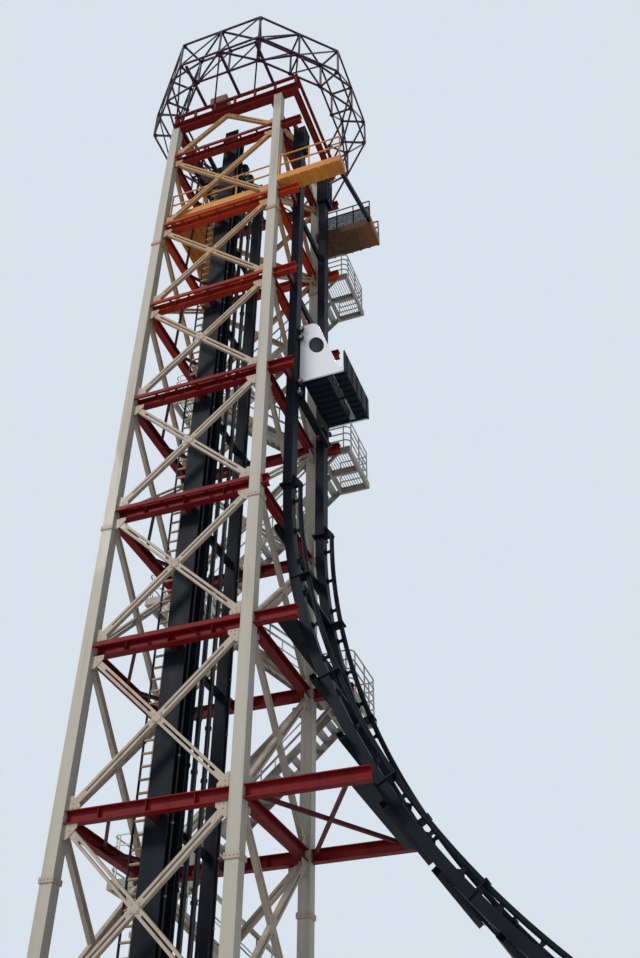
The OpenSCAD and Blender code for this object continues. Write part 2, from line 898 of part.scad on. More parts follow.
module stair_stringers() {
    color(grey)
        for (i = [0 : 7])
            flight_at(i)
                for (y = [lane_y(i) + 10, lane_y(i) + stair_w + 30])
                    translate([flight_x - flight_run(i), y, 0]) stringer(i);
}

module stair_treads() {
    color(grey)
        for (i = [0 : 7])
            let (n = i == 0 ? floor(tread_n / 2) : tread_n, run = flight_run(i) / (n + 1),
                 rise = flight_rise(i) / (n + 1))
            flight_at(i)
                for (k = [1 : n])
                    translate([flight_x - flight_run(i) + k * run - 60, lane_y(i) + 20, k * rise - step_t + 30])
                        cube([220, stair_w, step_t]);
}

// Landing seen from above: its near edge at y = 0, its inner edge at x = 0
landing_w = stair_end - leg_y - leg_w / 2;
lane_mid = stair_y + stair_w + lane_gap / 2 + 20 - leg_y - leg_w / 2;
panels = [[80, lane_mid - 40], [lane_mid + 40, landing_w - 80]];

module landing_frame() {
    difference() {
        union() {
            square([landing_l, landing_w]);
            translate([-leg_w, 0]) square([leg_w + 1, 50]);
        }
        for (p = panels) translate([80, p[0]]) square([landing_l - 160, p[1] - p[0]]);
    }
}

module landing_grate() {
    n = round((landing_l - 160) / 80);
    pitch = (landing_l - 160) / n;
    difference() {
        square([landing_l, landing_w]);
        for (k = [0 : n - 1], p = panels)
            translate([80 + k * pitch + 7, p[0]]) square([pitch - 14, p[1] - p[0]]);
    }
}

module stair_landings() {
    color(grey)
        for (i = [0 : 7])
            mirror([landing_side(i), 0, 0])
                translate([flight_x, leg_y + leg_w / 2, level(i)]) {
                    translate([0, 0, -230]) linear_extrude(200) landing_frame();
                    translate([0, 0, -30]) linear_extrude(30) landing_grate();
                    translate([0, 25, 0])
                        upright(50)
                            polygon([[-190, -900], [-70, -900], [600, -230], [460, -230]]);
                }
}

// Where a flight's handrail starts, and how far it ends before the landing
rail_from = 250;
rail_short = 740;

// Two slanted rails on posts, on each side of a flight
module flight_rail(i) {
    run = flight_run(i) - rail_from - rail_short;
    m = flight_rise(i) / flight_run(i);
    n = i == 0 ? 1 : 3;
    px = (run - 30) / n;
    z0 = rail_from * m + 60;
    function edge(x, h) = [x, x * m + z0 + h];
    pts = concat(
        [edge(0, 0), edge(30, 0), edge(30, 470)],
        [for (j = [1 : n]) for (p = [[0, 470], [0, 0], [30, 0], [30, 470]])
            if (j < n || p[0] + p[1] < 500 && !(p[0] == 30 && p[1] > 0))
                edge(j * px + p[0], p[1])],
        [edge(run, 1000), edge(0, 1000)]
    );
    windows = [for (j = [0 : n - 1])
        [edge(30 + j * px, 510), edge(30 + j * px, 960),
         edge((j + 1) * px, 960), edge((j + 1) * px, 510)]];
    all = concat(pts, [for (q = windows) for (p = q) p]);
    upright(30)
        polygon(all, concat([[for (k = [0 : len(pts) - 1]) k]],
                            [for (j = [0 : n - 1]) [for (k = [0 : 3]) len(pts) + 4 * j + k]]));
}

module stair_handrails() {
    color(grey)
        for (i = [0 : 7])
            flight_at(i)
                for (y = [lane_y(i) - 15, lane_y(i) + stair_w + 55])
                    translate([flight_x - flight_run(i) + rail_from, y, 0]) flight_rail(i);
}

// Plan line of a landing's end rail, at radius r round its two corners
corner_r = 180;

function end_line(r) =
    let (x = landing_l - corner_r)
    concat([for (a = [-90 : 15 : 0]) [x + r * cos(a), corner_r + r * sin(a)]],
           [for (a = [0 : 15 : 90]) [x + r * cos(a), landing_w - corner_r + r * sin(a)]]);

// Four bars that run round the landing's outer end, on three posts
module end_rail(bar = 30) {
    out = end_line(corner_r);
    inn = end_line(corner_r - bar);
    n = len(inn);
    for (j = [1 : 4])
        translate([0, 0, j * (rail_h - bar) / 4])
            linear_extrude(bar) polygon(concat(out, [for (k = [n - 1 : -1 : 0]) inn[k]]));
    for (y = [corner_r, landing_w / 2 - bar / 2, landing_w - corner_r - bar])
        block([landing_l - bar, y, 0], [landing_l, y + bar, rail_h]);
}

module stair_rails() {
    l = landing_l - corner_r - joint_gap;
    color(grey)
        for (i = [0 : 7])
            mirror([landing_side(i), 0, 0])
                translate([flight_x, leg_y + leg_w / 2, level(i)]) {
                    for (y = [15, landing_w - 15])
                        translate([0, y, 0]) barrier(l, rail_h, 900, 4, 30, 30);
                    end_rail();
                }
}

// Car: everything is placed from the front face of the drop columns and the frame's lower edge

car_z = bend_z + car_rise;
col_front = track_x + col_w / 2;
frame_x = 30;
frame_t = 120;
frame_b = 110;
shell_t = 50;
seat_x = frame_x + frame_t;
guard_h = 780;

module at_car() {
    translate([col_front, 0, car_z]) children();
}

module car_frame() {
    y = car_y - shell_t - joint_gap;
    n = 3;
    hz = (car_h - frame_b) / n;
    outer = [[-y, 0], [y, 0], [y, car_h], [-y, car_h]];
    holes = [
        for (k = [0 : n - 1])
            [[-y + frame_b, frame_b + k * hz], [-y + frame_b, (k + 1) * hz],
             [y - frame_b, (k + 1) * hz], [y - frame_b, frame_b + k * hz]]
    ];
    color(slate)
        at_car()
            translate([frame_x, 0, 0])
                rotate([90, 0, 90])
                    linear_extrude(frame_t)
                        polygon(concat(outer, [for (q = holes) for (p = q) p]),
                                concat([[0, 1, 2, 3]],
                                       [for (i = [0 : n - 1]) [for (k = [0 : 3]) 4 + 4 * i + k]]));
}

// The floor leaves a slot for the legs before the foot plate
module car_floor() {
    y = car_y - shell_t - joint_gap;
    color(slate)
        at_car() {
            block([seat_x, -y, floor_h], [car_d * 0.6, y, floor_h + 60]);
            block([car_d * 0.74, -y, floor_h], [car_d - 40 - joint_gap, y, floor_h + 40]);
            for (s = [-1, 0, 1])
                block([car_d * 0.6 + joint_gap, s * (y - 30) - 30, floor_h],
                      [car_d * 0.74 - joint_gap, s * (y - 30) + 30, floor_h + 40]);
        }
}

function oval(cx, cz, rx, rz, tilt) =
    [for (a = [0 : 15 : 345])
        let (x = rx * cos(a), z = rz * sin(a))
        [cx + x * cos(tilt) - z * sin(tilt), cz + x * sin(tilt) + z * cos(tilt)]];

module car_side_shells() {
    b = floor_h;
    d = car_d;
    top = car_h - b;
    pts = [
        [frame_x, b], [d - 40 - joint_gap, b], [d - 40 - joint_gap, b + 130], [d * 0.9, b + 150],
        [d * 0.83, b + top * 0.14], [d * 0.68, b + top * 0.42], [d * 0.52, b + top * 0.74],
        [d * 0.44, b + top * 0.9], [d * 0.37, b + top * 0.97], [d * 0.28, b + top],
        [frame_x, b + top]
    ];
    hole = oval(d * 0.38, b + top * 0.58, d * 0.15, top * 0.15, 20);
    color(white)
        at_car()
            for (s = [-1, 1])
                translate([0, s * (car_y - shell_t / 2), 0])
                    upright(shell_t)
                        polygon(concat(pts, hole),
                                [[for (k = [0 : len(pts) - 1]) k],
                                 [for (k = [0 : len(hole) - 1]) len(pts) + k]]);
}

module car_foot_guard() {
    color(slate)
        at_car()
            block([car_d - 40, -car_y, floor_h], [car_d, car_y, floor_h + guard_h]);
}

seat_pitch = (car_y - shell_t) / 2;
seat_w = seat_pitch - 50;

module car_seat_backs() {
    h = car_h - floor_h;
    color(slate)
        for (k = [-1.5 : 1 : 1.5])
            at_car()
                translate([seat_x, k * seat_pitch, floor_h + 60])
                    upright(seat_w)
                        polygon([
                            [0, 0], [170, 0], [170, h * 0.2], [90, h * 0.55], [150, h * 0.8],
                            [120, h * 0.92], [0, h * 0.92]
                        ]);
}

module car_seat_pans() {
    color(slate)
        for (k = [-1.5 : 1 : 1.5])
            at_car()
                translate([seat_x + 170 + joint_gap, k * seat_pitch, floor_h + 60])
                    upright(seat_w)
                        polygon([[0, 0], [430, 0], [500, 340], [470, 430], [0, 380]]);
}

// A lap bar and two arms for each rider, hinged at the seat back
module car_restraints() {
    z = floor_h + 900;
    x0 = seat_x + 170;
    color(slate)
        for (k = [-1.5 : 1 : 1.5])
            at_car()
                translate([0, k * seat_pitch, 0]) {
                    for (s = [-1, 1])
                        translate([0, s * (seat_w / 2 + 10), 0])
                            upright(20)
                                polygon([
                                    [seat_x + 40, z - 200], [seat_x + 90, z - 200], [x0 + 320, z + 90],
                                    [x0 + 320, z + 150], [x0 + 260, z + 150], [seat_x + 40, z - 120]
                                ]);
                    block([x0 + 250, -seat_w / 2 - 2, z + 90], [x0 + 320, seat_w / 2 + 2, z + 150]);
                }
}

// Running wheels before the columns, guide wheels between them
module car_wheels() {
    r = 85;
    rg = 90;
    wheel_y = gauge_y + 10;
    guide_y = gauge_y - col_d / 2 - rg - wheel_gap;
    color(slate)
        at_car()
            both_sides()
                for (z = [car_h * 0.06, car_h * 0.2, car_h * 0.8, car_h * 0.92]) {
                    translate([r + wheel_gap, wheel_y, z]) {
                        rotate([90, 0, 0]) cylinder(r = r, h = 70, center = true);
                        block([-20, car_y - (z < floor_h ? shell_t : 0) - wheel_y, -20],
                              [20, -35, 20]);
                    }
                    translate([-150, guide_y, z + 110]) {
                        rotate([0, 90, 0]) cylinder(r = rg, h = 70);
                        block([70, -30, -30], [150 + frame_x, 30, 30]);
                    }
                }
}

anchor_plates();
leg_near_left();
leg_near_right();
leg_far_left();
leg_far_right();
leg_splices();
near_beams();
far_beams();
left_beams();
right_beams();
edge_ties();
near_braces();
far_braces();
left_braces();
right_braces();
brace_gussets();
plan_braces();
lift_columns();
lift_guides();
lift_ties();
lift_brackets();
lift_ladder();
lift_base_plate();
roof_beams();
roof_chords();
roof_cabinet();
hoist_winch();
track_heads();
track_columns();
track_brackets();
track_cross_girders();
track_girders();
track_rails();
track_frames();
track_ties();
track_posts();
crown_rings_a();
crown_rings_b();
crown_posts();
crown_lacing();
crown_outriggers();
tower_decks();
deck_rails();
deck_link();
stair_stringers();
stair_treads();
stair_landings();
stair_rails();
stair_handrails();
car_frame();
car_floor();
car_side_shells();
car_foot_guard();
car_seat_backs();
car_seat_pans();
car_restraints();
car_wheels();
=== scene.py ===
import math

import bmesh
import bpy
import numpy as np
from mathutils import Matrix, Vector
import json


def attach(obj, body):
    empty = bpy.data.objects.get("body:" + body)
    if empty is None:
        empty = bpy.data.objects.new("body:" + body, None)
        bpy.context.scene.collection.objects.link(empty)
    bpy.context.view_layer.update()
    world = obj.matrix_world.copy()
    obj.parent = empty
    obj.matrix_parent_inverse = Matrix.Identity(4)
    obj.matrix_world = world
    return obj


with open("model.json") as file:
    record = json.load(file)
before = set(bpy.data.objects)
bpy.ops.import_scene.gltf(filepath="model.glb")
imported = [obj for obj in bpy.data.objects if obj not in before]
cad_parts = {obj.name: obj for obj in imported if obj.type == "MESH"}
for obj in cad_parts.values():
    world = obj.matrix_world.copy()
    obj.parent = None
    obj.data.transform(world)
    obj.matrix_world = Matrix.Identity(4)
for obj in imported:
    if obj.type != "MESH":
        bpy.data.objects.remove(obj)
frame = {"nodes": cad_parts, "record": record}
scene = bpy.context.scene
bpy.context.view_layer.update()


class Wire:
    # a socket of a node, which sums and products turn into further nodes
    def __init__(self, nodes, socket):
        self.nodes = nodes
        self.socket = socket

    def calc(self, op, a, b=0.0):
        return self.nodes.node("ShaderNodeMath", {"operation": op}, {0: a, 1: b})

    def __add__(self, other):
        return self.calc("ADD", self, other)

    def __sub__(self, other):
        return self.calc("SUBTRACT", self, other)

    def __rsub__(self, other):
        return self.calc("SUBTRACT", other, self)

    def __mul__(self, other):
        return self.calc("MULTIPLY", self, other)

    __radd__ = __add__
    __rmul__ = __mul__

    def clamp(self):
        return self.calc("MINIMUM", self.calc("MAXIMUM", self, 0.0), 1.0)

    def step(self, low, high):  # 0 below low, 1 above high, smooth between
        return self.nodes.node("ShaderNodeMapRange", {"interpolation_type": "SMOOTHSTEP"},
                               {"Value": self, "From Min": low, "From Max": high})


class Nodes:
    # the emptied node tree of a material or a world
    def __init__(self, owner):
        owner.use_nodes = True
        self.tree = owner.node_tree
        self.tree.nodes.clear()

    def node(self, kind, settings=None, inputs=None, out=0):
        made = self.tree.nodes.new(kind)
        for key, value in (settings or {}).items():
            setattr(made, key, value)
        for key, value in (inputs or {}).items():
            if isinstance(value, Wire):
                self.tree.links.new(value.socket, made.inputs[key])
            else:
                made.inputs[key].default_value = value
        return Wire(self, made.outputs[out]) if len(made.outputs) else None


class Paint(Nodes):
    # a material, with the nodes that its finishes are made of
    def __init__(self, name):
        self.mat = bpy.data.materials.new(name)
        super().__init__(self.mat)

    def place(self, scale=(1, 1, 1)):
        coords = self.node("ShaderNodeTexCoord", out="Object")
        return self.node("ShaderNodeMapping", inputs={"Vector": coords, "Scale": scale})

    def noise(self, size, detail=3.0, rough=0.55, stretch=(1, 1, 1)):
        return self.node("ShaderNodeTexNoise", inputs={
            "Vector": self.place(stretch), "Scale": 1.0 / size, "Detail": detail, "Roughness": rough})

    def along(self, axis):
        coords = self.node("ShaderNodeTexCoord", out="Object")
        return self.node("ShaderNodeSeparateXYZ", inputs={0: coords}, out=axis)

    def mix(self, amount, first, second):
        return self.node("ShaderNodeMix", {"data_type": "RGBA"},
                         {"Factor": amount, 6: first, 7: second}, out=2)

    def finish(self, color, rough, metal=0.0, height=None, depth=0.001, coat=0.0, shine=0.5):
        inputs = {"Base Color": color, "Roughness": rough, "Metallic": metal, "Coat Weight": coat,
                  "Specular IOR Level": shine}
        if height is not None:
            inputs["Normal"] = self.node("ShaderNodeBump", inputs={
                "Strength": 1.0, "Distance": depth, "Height": height})
        shader = self.node("ShaderNodeBsdfPrincipled", inputs=inputs)
        self.node("ShaderNodeOutputMaterial", inputs={"Surface": shader})
        return self.mat


def rgb(color, level=1.0):  # a colour times a level, opaque
    return (color[0] * level, color[1] * level, color[2] * level, 1.0)


rustColor = (0.16, 0.06, 0.025, 1)
dustColor = (0.34, 0.31, 0.26, 1)


# Coats of paint on steel: mottled, with rain streaks, dust on flat tops, rust at scattered spots, and
# zones of painted light and shade, each (axis, from, to, tint, share): painted sunlight, glints and shade
def steelPaint(name, base, streak=0.35, rust=0.25, rough=0.42, dust=0.2, shine=0.5, paintedLightZones=()):
    paint = Paint(name)
    mottle = paint.noise(1.6, 4.0)
    streaks = paint.noise(0.22, 3.0, 0.6, (1, 1, 0.05))
    fine = paint.noise(0.03, 2.0)
    spots = paint.noise(0.35, 6.0, 0.7)
    normal = paint.node("ShaderNodeNewGeometry", out="Normal")
    up = paint.node("ShaderNodeSeparateXYZ", inputs={0: normal}, out=2)
    shade = (mottle - 0.5) * 0.5 + 0.5
    color = paint.mix(shade, rgb(base, 0.82), rgb(base, 1.16))
    # the zones mix in painted sunlight, glints and shade, fading in from low to high along their axis
    for axis, low, high, paintedTint, share in paintedLightZones:
        inPaintedLight = (paint.along(axis) + (mottle - 0.5) * (high - low) * 0.8).step(low, high)
        color = paint.mix(inPaintedLight * share, color, paint.mix(shade, rgb(paintedTint, 0.8), rgb(paintedTint, 1.2)))
    color = paint.mix(streaks.step(0.5, 0.72) * streak, color, rgb(base, 0.42))
    color = paint.mix(spots.step(0.66, 0.74) * rust, color, rustColor)
    color = paint.mix(up.step(0.6, 0.95) * dust, color, dustColor)
    gloss = (mottle * 0.16 + streaks * 0.12 + rough - 0.12).clamp()
    return paint.finish(color, gloss, 0.0, fine * 0.4 + mottle, 0.0016, 0.1 * shine, shine)


# Galvanised steel: cells of lighter and darker zinc under a soft mottle
def zincCoat(name, base):
    paint = Paint(name)
    flakes = paint.node("ShaderNodeTexVoronoi", inputs={"Vector": paint.place(), "Scale": 38.0}, out="Color")
    level = paint.node("ShaderNodeSeparateXYZ", inputs={0: flakes})
    mottle = paint.noise(0.5, 4.0)
    color = paint.mix(level * 0.5 + mottle * 0.5, rgb(base, 0.72), rgb(base, 1.25))
    return paint.finish(color, (level * 0.14 + mottle * 0.2 + 0.36).clamp(), 0.55, mottle, 0.0012)


# Moulded plastic, skin or rubber: an even colour with a fine grain, dulled where soil gathers
def moulded(name, base, grain, rough, coat=0.0, dirt=0.15, shine=0.5):
    paint = Paint(name)
    fine = paint.noise(grain, 2.0)
    soil = paint.noise(0.5, 5.0, 0.65)
    color = paint.mix(soil.step(0.48, 0.75) * dirt, rgb(base), rgb((0.12, 0.11, 0.1)))
    return paint.finish(color, (soil * 0.2 + rough).clamp(), 0.0, fine, 0.0008, coat, shine)


finishes = {
    "cream_paint": steelPaint("cream paint", (0.405, 0.385, 0.335), streak=0.3, rust=0.2, rough=0.55,
                              shine=0.35),
    # the braces' orange tint from 20 to 33 m is painted warm low sunlight on the upper steel
    "brace_paint": steelPaint("brace paint", (0.40, 0.34, 0.28), streak=0.4, rust=0.35, rough=0.55, shine=0.3,
                              paintedLightZones=((2, 20.0, 33.0, (0.42, 0.20, 0.055), 0.85),)),
    # painted warm sunlight brightens the red from 22 to 30 m; painted shade darkens the roof beams, 32.5 to
    # 34.5 m
    "red_paint": steelPaint("red paint", (0.165, 0.005, 0.008), streak=0.45, rust=0.15, rough=0.55, dust=0.03,
                            shine=0.12, paintedLightZones=((2, 22.0, 30.0, (0.42, 0.04, 0.01), 0.85),
                                               (2, 32.5, 34.5, (0.13, 0.008, 0.01), 0.9))),
    # the redder patches growing towards +Y are painted red glints of low sunlight on the crown
    "plum_paint": steelPaint("plum paint", (0.028, 0.008, 0.024), streak=0.5, rust=0.1, rough=0.4, dust=0.05,
                             shine=0.4, paintedLightZones=((1, -3.0, 3.5, (0.05, 0.007, 0.012), 0.7),)),
    "wine_paint": steelPaint("wine paint", (0.075, 0.007, 0.012), streak=0.4, rust=0.1, rough=0.5, dust=0.03,
                             shine=0.15),
    "brown_paint": steelPaint("brown paint", (0.13, 0.032, 0.022), streak=0.35, rust=0.4, rough=0.5),
    "slate_paint": steelPaint("slate paint", (0.004, 0.0075, 0.0135), streak=0.3, rust=0.05, rough=0.55,
                              dust=0.01, shine=0.1),
    # the orange base is the deck paint with painted warm sunlight in it
    "deck_paint": steelPaint("deck paint", (0.55, 0.22, 0.032), streak=0.35, rust=0.35, rough=0.52, shine=0.3,
                             # the dark brown from y 0.6 to 1.6 is painted shade on the far deck
                             paintedLightZones=((1, 0.6, 1.6, (0.035, 0.022, 0.013), 0.94),
                                    # the orange patch from x 3.3 to 4.3 is a painted glint on the far deck's
                                    # underside
                                    (0, 3.3, 4.3, (0.36, 0.09, 0.02), 0.4))),
    "stair_paint": steelPaint("stair paint", (0.26, 0.235, 0.2), streak=0.4, rust=0.35, rough=0.5, dust=0.1),
    "zinc_grey": zincCoat("zinc coat", (0.36, 0.37, 0.35)),
    "white_shell": moulded("white shell", (0.70, 0.74, 0.79), 0.02, 0.2, coat=0.4, dirt=0.1),
    "seat_black": moulded("seat skin", (0.022, 0.022, 0.026), 0.006, 0.5),
    "wheel_tyre": moulded("wheel tyre", (0.03, 0.03, 0.03), 0.01, 0.6),
    "rust_cream": steelPaint("rusted cream paint", (0.34, 0.24, 0.14), streak=0.4, rust=0.7, rough=0.55),
    "crown_paint": steelPaint("crown hub paint", (0.03, 0.007, 0.02), streak=0.3, rust=0.1, rough=0.45,
                              dust=0.05, shine=0.4),
    "rope_steel": steelPaint("greased rope", (0.03, 0.03, 0.032), streak=0.2, rust=0.2, rough=0.4, dust=0.0,
                             shine=0.4),
    "seat_skin": moulded("cushion skin", (0.018, 0.018, 0.022), 0.004, 0.45, coat=0.1, dirt=0.2),
    "dark_pane": moulded("smoked pane", (0.006, 0.012, 0.024), 0.05, 0.45, dirt=0.03, shine=0.12),
    "pale_trim": moulded("pale trim", (0.42, 0.45, 0.48), 0.02, 0.3, coat=0.2, dirt=0.3),
}
ownPaint = {"stair_landings": "stair_paint", "stair_stringers": "stair_paint", "plan_braces": "wine_paint",
            "track_brackets": "wine_paint", "lift_brackets": "wine_paint"}
for name in ("near_braces", "far_braces", "left_braces", "right_braces", "brace_gussets", "leg_splices"):
    ownPaint[name] = "brace_paint"
slotOf = {part["node"]: part["material_slot"] for part in frame["record"]["subparts"]}
for name, thing in frame["nodes"].items():
    thing.data.materials.clear()
    thing.data.materials.append(finishes[ownPaint.get(name, slotOf[name])])
print("painted", len(slotOf), "nodes")


# Shapes: each is (points, list of face arrays)

def gridFaces(rows, cols, wrapRows=False):
    # quads between neighbours of a grid whose columns run round
    row = np.arange(rows if wrapRows else rows - 1)[:, None]
    col = np.arange(cols)[None, :]
    here, there, beside = row * cols, (row + 1) % rows * cols, (col + 1) % cols
    return np.stack([here + col, here + beside, there + beside, there + col], -1).reshape(-1, 4)


def loft(rings, wrap=False):
    # rings is stations x points x 3: each ring joins the next, and the two end rings are filled
    count, around = rings.shape[:2]
    faces = [gridFaces(count, around, wrap)]
    if not wrap:
        faces.append(np.array([np.arange(around)[::-1], np.arange(around) + (count - 1) * around]))
    return rings.reshape(-1, 3), faces


def unit(vectors):
    # each vector over its own length
    vectors = np.asarray(vectors, float)
    return vectors / np.linalg.norm(vectors, axis=-1, keepdims=True)


def circle(sides):
    # cosines and sines of even steps round a full turn
    turn = np.linspace(0, 2 * np.pi, sides, endpoint=False)
    return np.cos(turn), np.sin(turn)


def pointsAt(x, y, z):
    # points from three numbers or arrays, each stretched to the longest of them
    return np.stack(np.broadcast_arrays(x, y, z), -1)


def tube(path, radius, sides=10, wrap=False, ref=(0, 0, 1)):
    # a circle round each point of the path, square to the path's direction there
    path = np.asarray(path, float)
    ahead = unit(np.roll(path, -1, 0) - np.roll(path, 1, 0) if wrap else np.gradient(path, axis=0))
    side = unit(np.cross(ahead, ref))
    up = np.cross(side, ahead)
    c, s = circle(sides)
    reach = np.broadcast_to(radius, (len(path),))[:, None, None]
    ring = c[None, :, None] * side[:, None] + s[None, :, None] * up[:, None]
    return loft(path[:, None] + reach * ring, wrap)


def bar(outline, start, end, up=(0, 0, 1)):
    # an outline (sideways, upwards) carried straight from start to end
    start, end = np.asarray(start, float), np.asarray(end, float)
    ahead = unit(end - start)
    side = unit(np.cross(ahead, up))
    top = np.cross(side, ahead)
    outline = np.asarray(outline, float)
    ring = outline[:, :1] * side + outline[:, 1:] * top
    return loft(np.stack([start + ring, end + ring]))


def revolve(profile, sides=12, wrap=False):
    # points (radius, height) turned round Z
    profile = np.asarray(profile, float)
    c, s = circle(sides)
    r, z = profile[:, :1], profile[:, 1:]
    return loft(np.stack([r * c, r * s, z + 0 * c], -1), wrap)


def merge(shapes):
    # several shapes as one: points in a row, and each shape's faces moved on by the points before it
    points, groups, base = [], [], 0
    for verts, faces in shapes:
        points.append(verts)
        groups += [part + base for part in faces]
        base += len(verts)
    return np.concatenate(points), groups


def stamp(shape, places, axes=(0, 0, 1), ref=(0.31, 0.77, 0.56)):
    # copies of a shape, its Z turned to each axis and its origin put at each place
    places = np.atleast_2d(np.asarray(places, float))
    z = unit(np.broadcast_to(axes, places.shape))
    x = unit(np.cross(ref, z))
    turn = np.stack([x, np.cross(z, x), z], -1)
    verts, faces = shape
    points = np.einsum("nij,mj->nmi", turn, verts) + places[:, None]
    shift = (np.arange(len(places)) * len(verts))[:, None, None]
    return points.reshape(-1, 3), [(part[None] + shift).reshape(-1, part.shape[1]) for part in faces]


class BoltRows:
    # places and directions of bolt heads, gathered row by row
    def __init__(self):
        self.places = []
        self.axes = []

    def add(self, x, y, z, axis):
        spots = pointsAt(x, y, z).reshape(-1, 3)
        self.places.append(spots)
        self.axes.append(np.broadcast_to(axis, spots.shape))

    def gathered(self):
        return np.concatenate(self.places), np.concatenate(self.axes)


def addPiece(name, shape, finish, body="tower", smooth=False):
    # one object at the origin with the shape, or a list of shapes, in its mesh, faces outward, on its body
    if isinstance(shape, list):
        shape = merge(shape)
    mesh = bpy.data.meshes.new(name)
    mesh.from_pydata(shape[0].tolist(), [], [face for part in shape[1] for face in part.tolist()])
    work = bmesh.new()
    work.from_mesh(mesh)
    bmesh.ops.recalc_face_normals(work, faces=work.faces)
    work.to_mesh(mesh)
    work.free()
    mesh.polygons.foreach_set("use_smooth", np.full(len(mesh.polygons), smooth))
    mesh.materials.append(finishes[finish])
    thing = bpy.data.objects.new(name, mesh)
    scene.collection.objects.link(thing)
    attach(thing, body)
    return thing


# The CAD's own sizes that the details line up with, in metres
size = {"legX": 2.03, "legY": 1.88, "legW": 0.29, "base": 2.15, "bay": 4.01, "deep": 0.29, "light": 0.28,
        "braceT": 0.11, "plateT": 0.014, "plateS": 0.32, "gap": 0.06, "splices": (8.75, 17.58, 29.22),
        "bendX": 18.9, "bendZ": 18.25, "bendR": 16.3, "girderH": 0.24, "gaugeY": 1.15}
girders = (-size["gaugeY"], size["gaugeY"])
levels = size["base"] + size["bay"] * np.arange(9)
heavy = np.arange(9) < 3  # the lowest three levels have deeper beams, in line with the legs
depths = np.where(heavy, size["deep"], size["light"])
boltHead = revolve([(0.017, 0), (0.017, 0.009), (0.013, 0.013)], 6)


def addPlateBolts():
    # bolt heads on the gusset plates, at fractions of a plate's side, and four round each crossing
    look = {"holes": ((0.14, 0.16), (0.14, 0.45), (0.14, 0.74), (0.45, 0.14), (0.76, 0.14), (0.46, 0.44)),
            "cross": (-0.07, 0.07), "clear": 0.085}
    u, v = (np.array(look["holes"]) * size["plateS"]).T
    inset = np.where(heavy, 0, size["gap"])
    low, high = levels + inset, levels - depths - inset
    middles = (low[:-1] + high[1:]) / 2
    frontRows = [(z, 1) for z in low] + [(z, -1) for z in high]
    sideRows = [(z, 1) for z in levels] + [(z - size["light"], -1) for z in levels]
    edgeX, edgeY = size["legX"] - size["legW"] / 2, size["legY"] - size["legW"] / 2
    out = size["braceT"] / 2 + size["plateT"]
    bolts = BoltRows()
    for flip in (-1, 1):
        x, y = flip * (size["legX"] + out), flip * (size["legY"] + out)
        for side in (-1, 1):
            for z, way in frontRows:
                bolts.add(side * (edgeX - u), y, z + way * v, (0, flip, 0))
            for z, way in sideRows:
                bolts.add(x, side * (edgeY - u), z + way * v, (flip, 0, 0))
        for dx in look["cross"]:
            for dz in look["cross"]:
                bolts.add(dx, y, middles + dz, (0, flip, 0))
    places, axes = bolts.gathered()
    clear = np.min(np.abs(places[:, 2:] - np.array(size["splices"])), axis=1) > look["clear"]
    addPiece("gussetBolts", stamp(boltHead, places[clear], axes[clear]), "brace_paint")


def addSpliceBolts():
    # a row of four bolt heads on each face of the splice collars
    look = {"row": np.array((-0.13, -0.045, 0.045, 0.13)), "collar": 0.028}
    half = size["legW"] / 2 + look["collar"]
    bolts = BoltRows()
    for x in (-size["legX"], size["legX"]):
        for y in (-size["legY"], size["legY"]):
            for z in size["splices"]:
                for way in (-1, 1):
                    bolts.add(x + way * half, y + look["row"], z, (way, 0, 0))
                    bolts.add(x + look["row"], y + way * half, z, (0, way, 0))
    addPiece("spliceBolts", stamp(boltHead, *bolts.gathered()), "brace_paint")


def addBeamStiffeners():
    # plates between the beams' flanges: a rectangle with both corners at the web clipped
    look = {"web": 0.008, "reach": 0.088, "clip": 0.022, "flange": 0.022, "thick": 0.012,
            "x": (-1.1, 0.0, 1.1), "lightInset": 0.13}
    web, clipped, reach, half = look["web"], look["web"] + look["clip"], look["reach"], look["thick"] / 2
    shapes = []
    for level, depth, inLine in zip(levels, depths, heavy):
        top, low = -look["flange"], look["flange"] - depth
        outline = np.array([(web, top - look["clip"]), (clipped, top), (reach, top),
                            (reach, low), (clipped, low), (web, low + look["clip"])])
        y = size["legY"] - (0 if inLine else look["lightInset"])
        for x in look["x"]:
            for side in (-1, 1):
                for beam in (-y, y):
                    shapes.append(bar(outline * (side, 1), (x - half, beam, level), (x + half, beam, level)))
    addPiece("beamStiffeners", shapes, "red_paint")


addPlateBolts()
addSpliceBolts()
addBeamStiffeners()
print("tower details added")


def addCrownHubs():
    # a stepped disc at each node of the ring truss, a node's radius being the ring's apothem over the
    # cosine of its angle from the middle of its side
    look = {"middleX": 0.42, "apothem": 3.72, "inset": 0.058, "band": 0.80, "nodes": 16,
            "z": (37.011, 38.469), "disc": ((0.045, -0.029), (0.085, -0.012), (0.085, 0.012), (0.045, 0.029))}
    step = 360 / look["nodes"]
    turn = np.arange(look["nodes"]) * step
    offset = np.radians((turn + step) % (2 * step) - step)
    turn = np.radians(turn)
    places = []
    for apothem in (look["apothem"] - look["inset"], look["apothem"] - look["band"]):
        reach = apothem / np.cos(offset)
        x, y = look["middleX"] + reach * np.cos(turn), reach * np.sin(turn)
        places += [pointsAt(x, y, z) for z in look["z"]]
    addPiece("crownHubs", stamp(revolve(look["disc"], 10), np.concatenate(places)), "crown_paint")


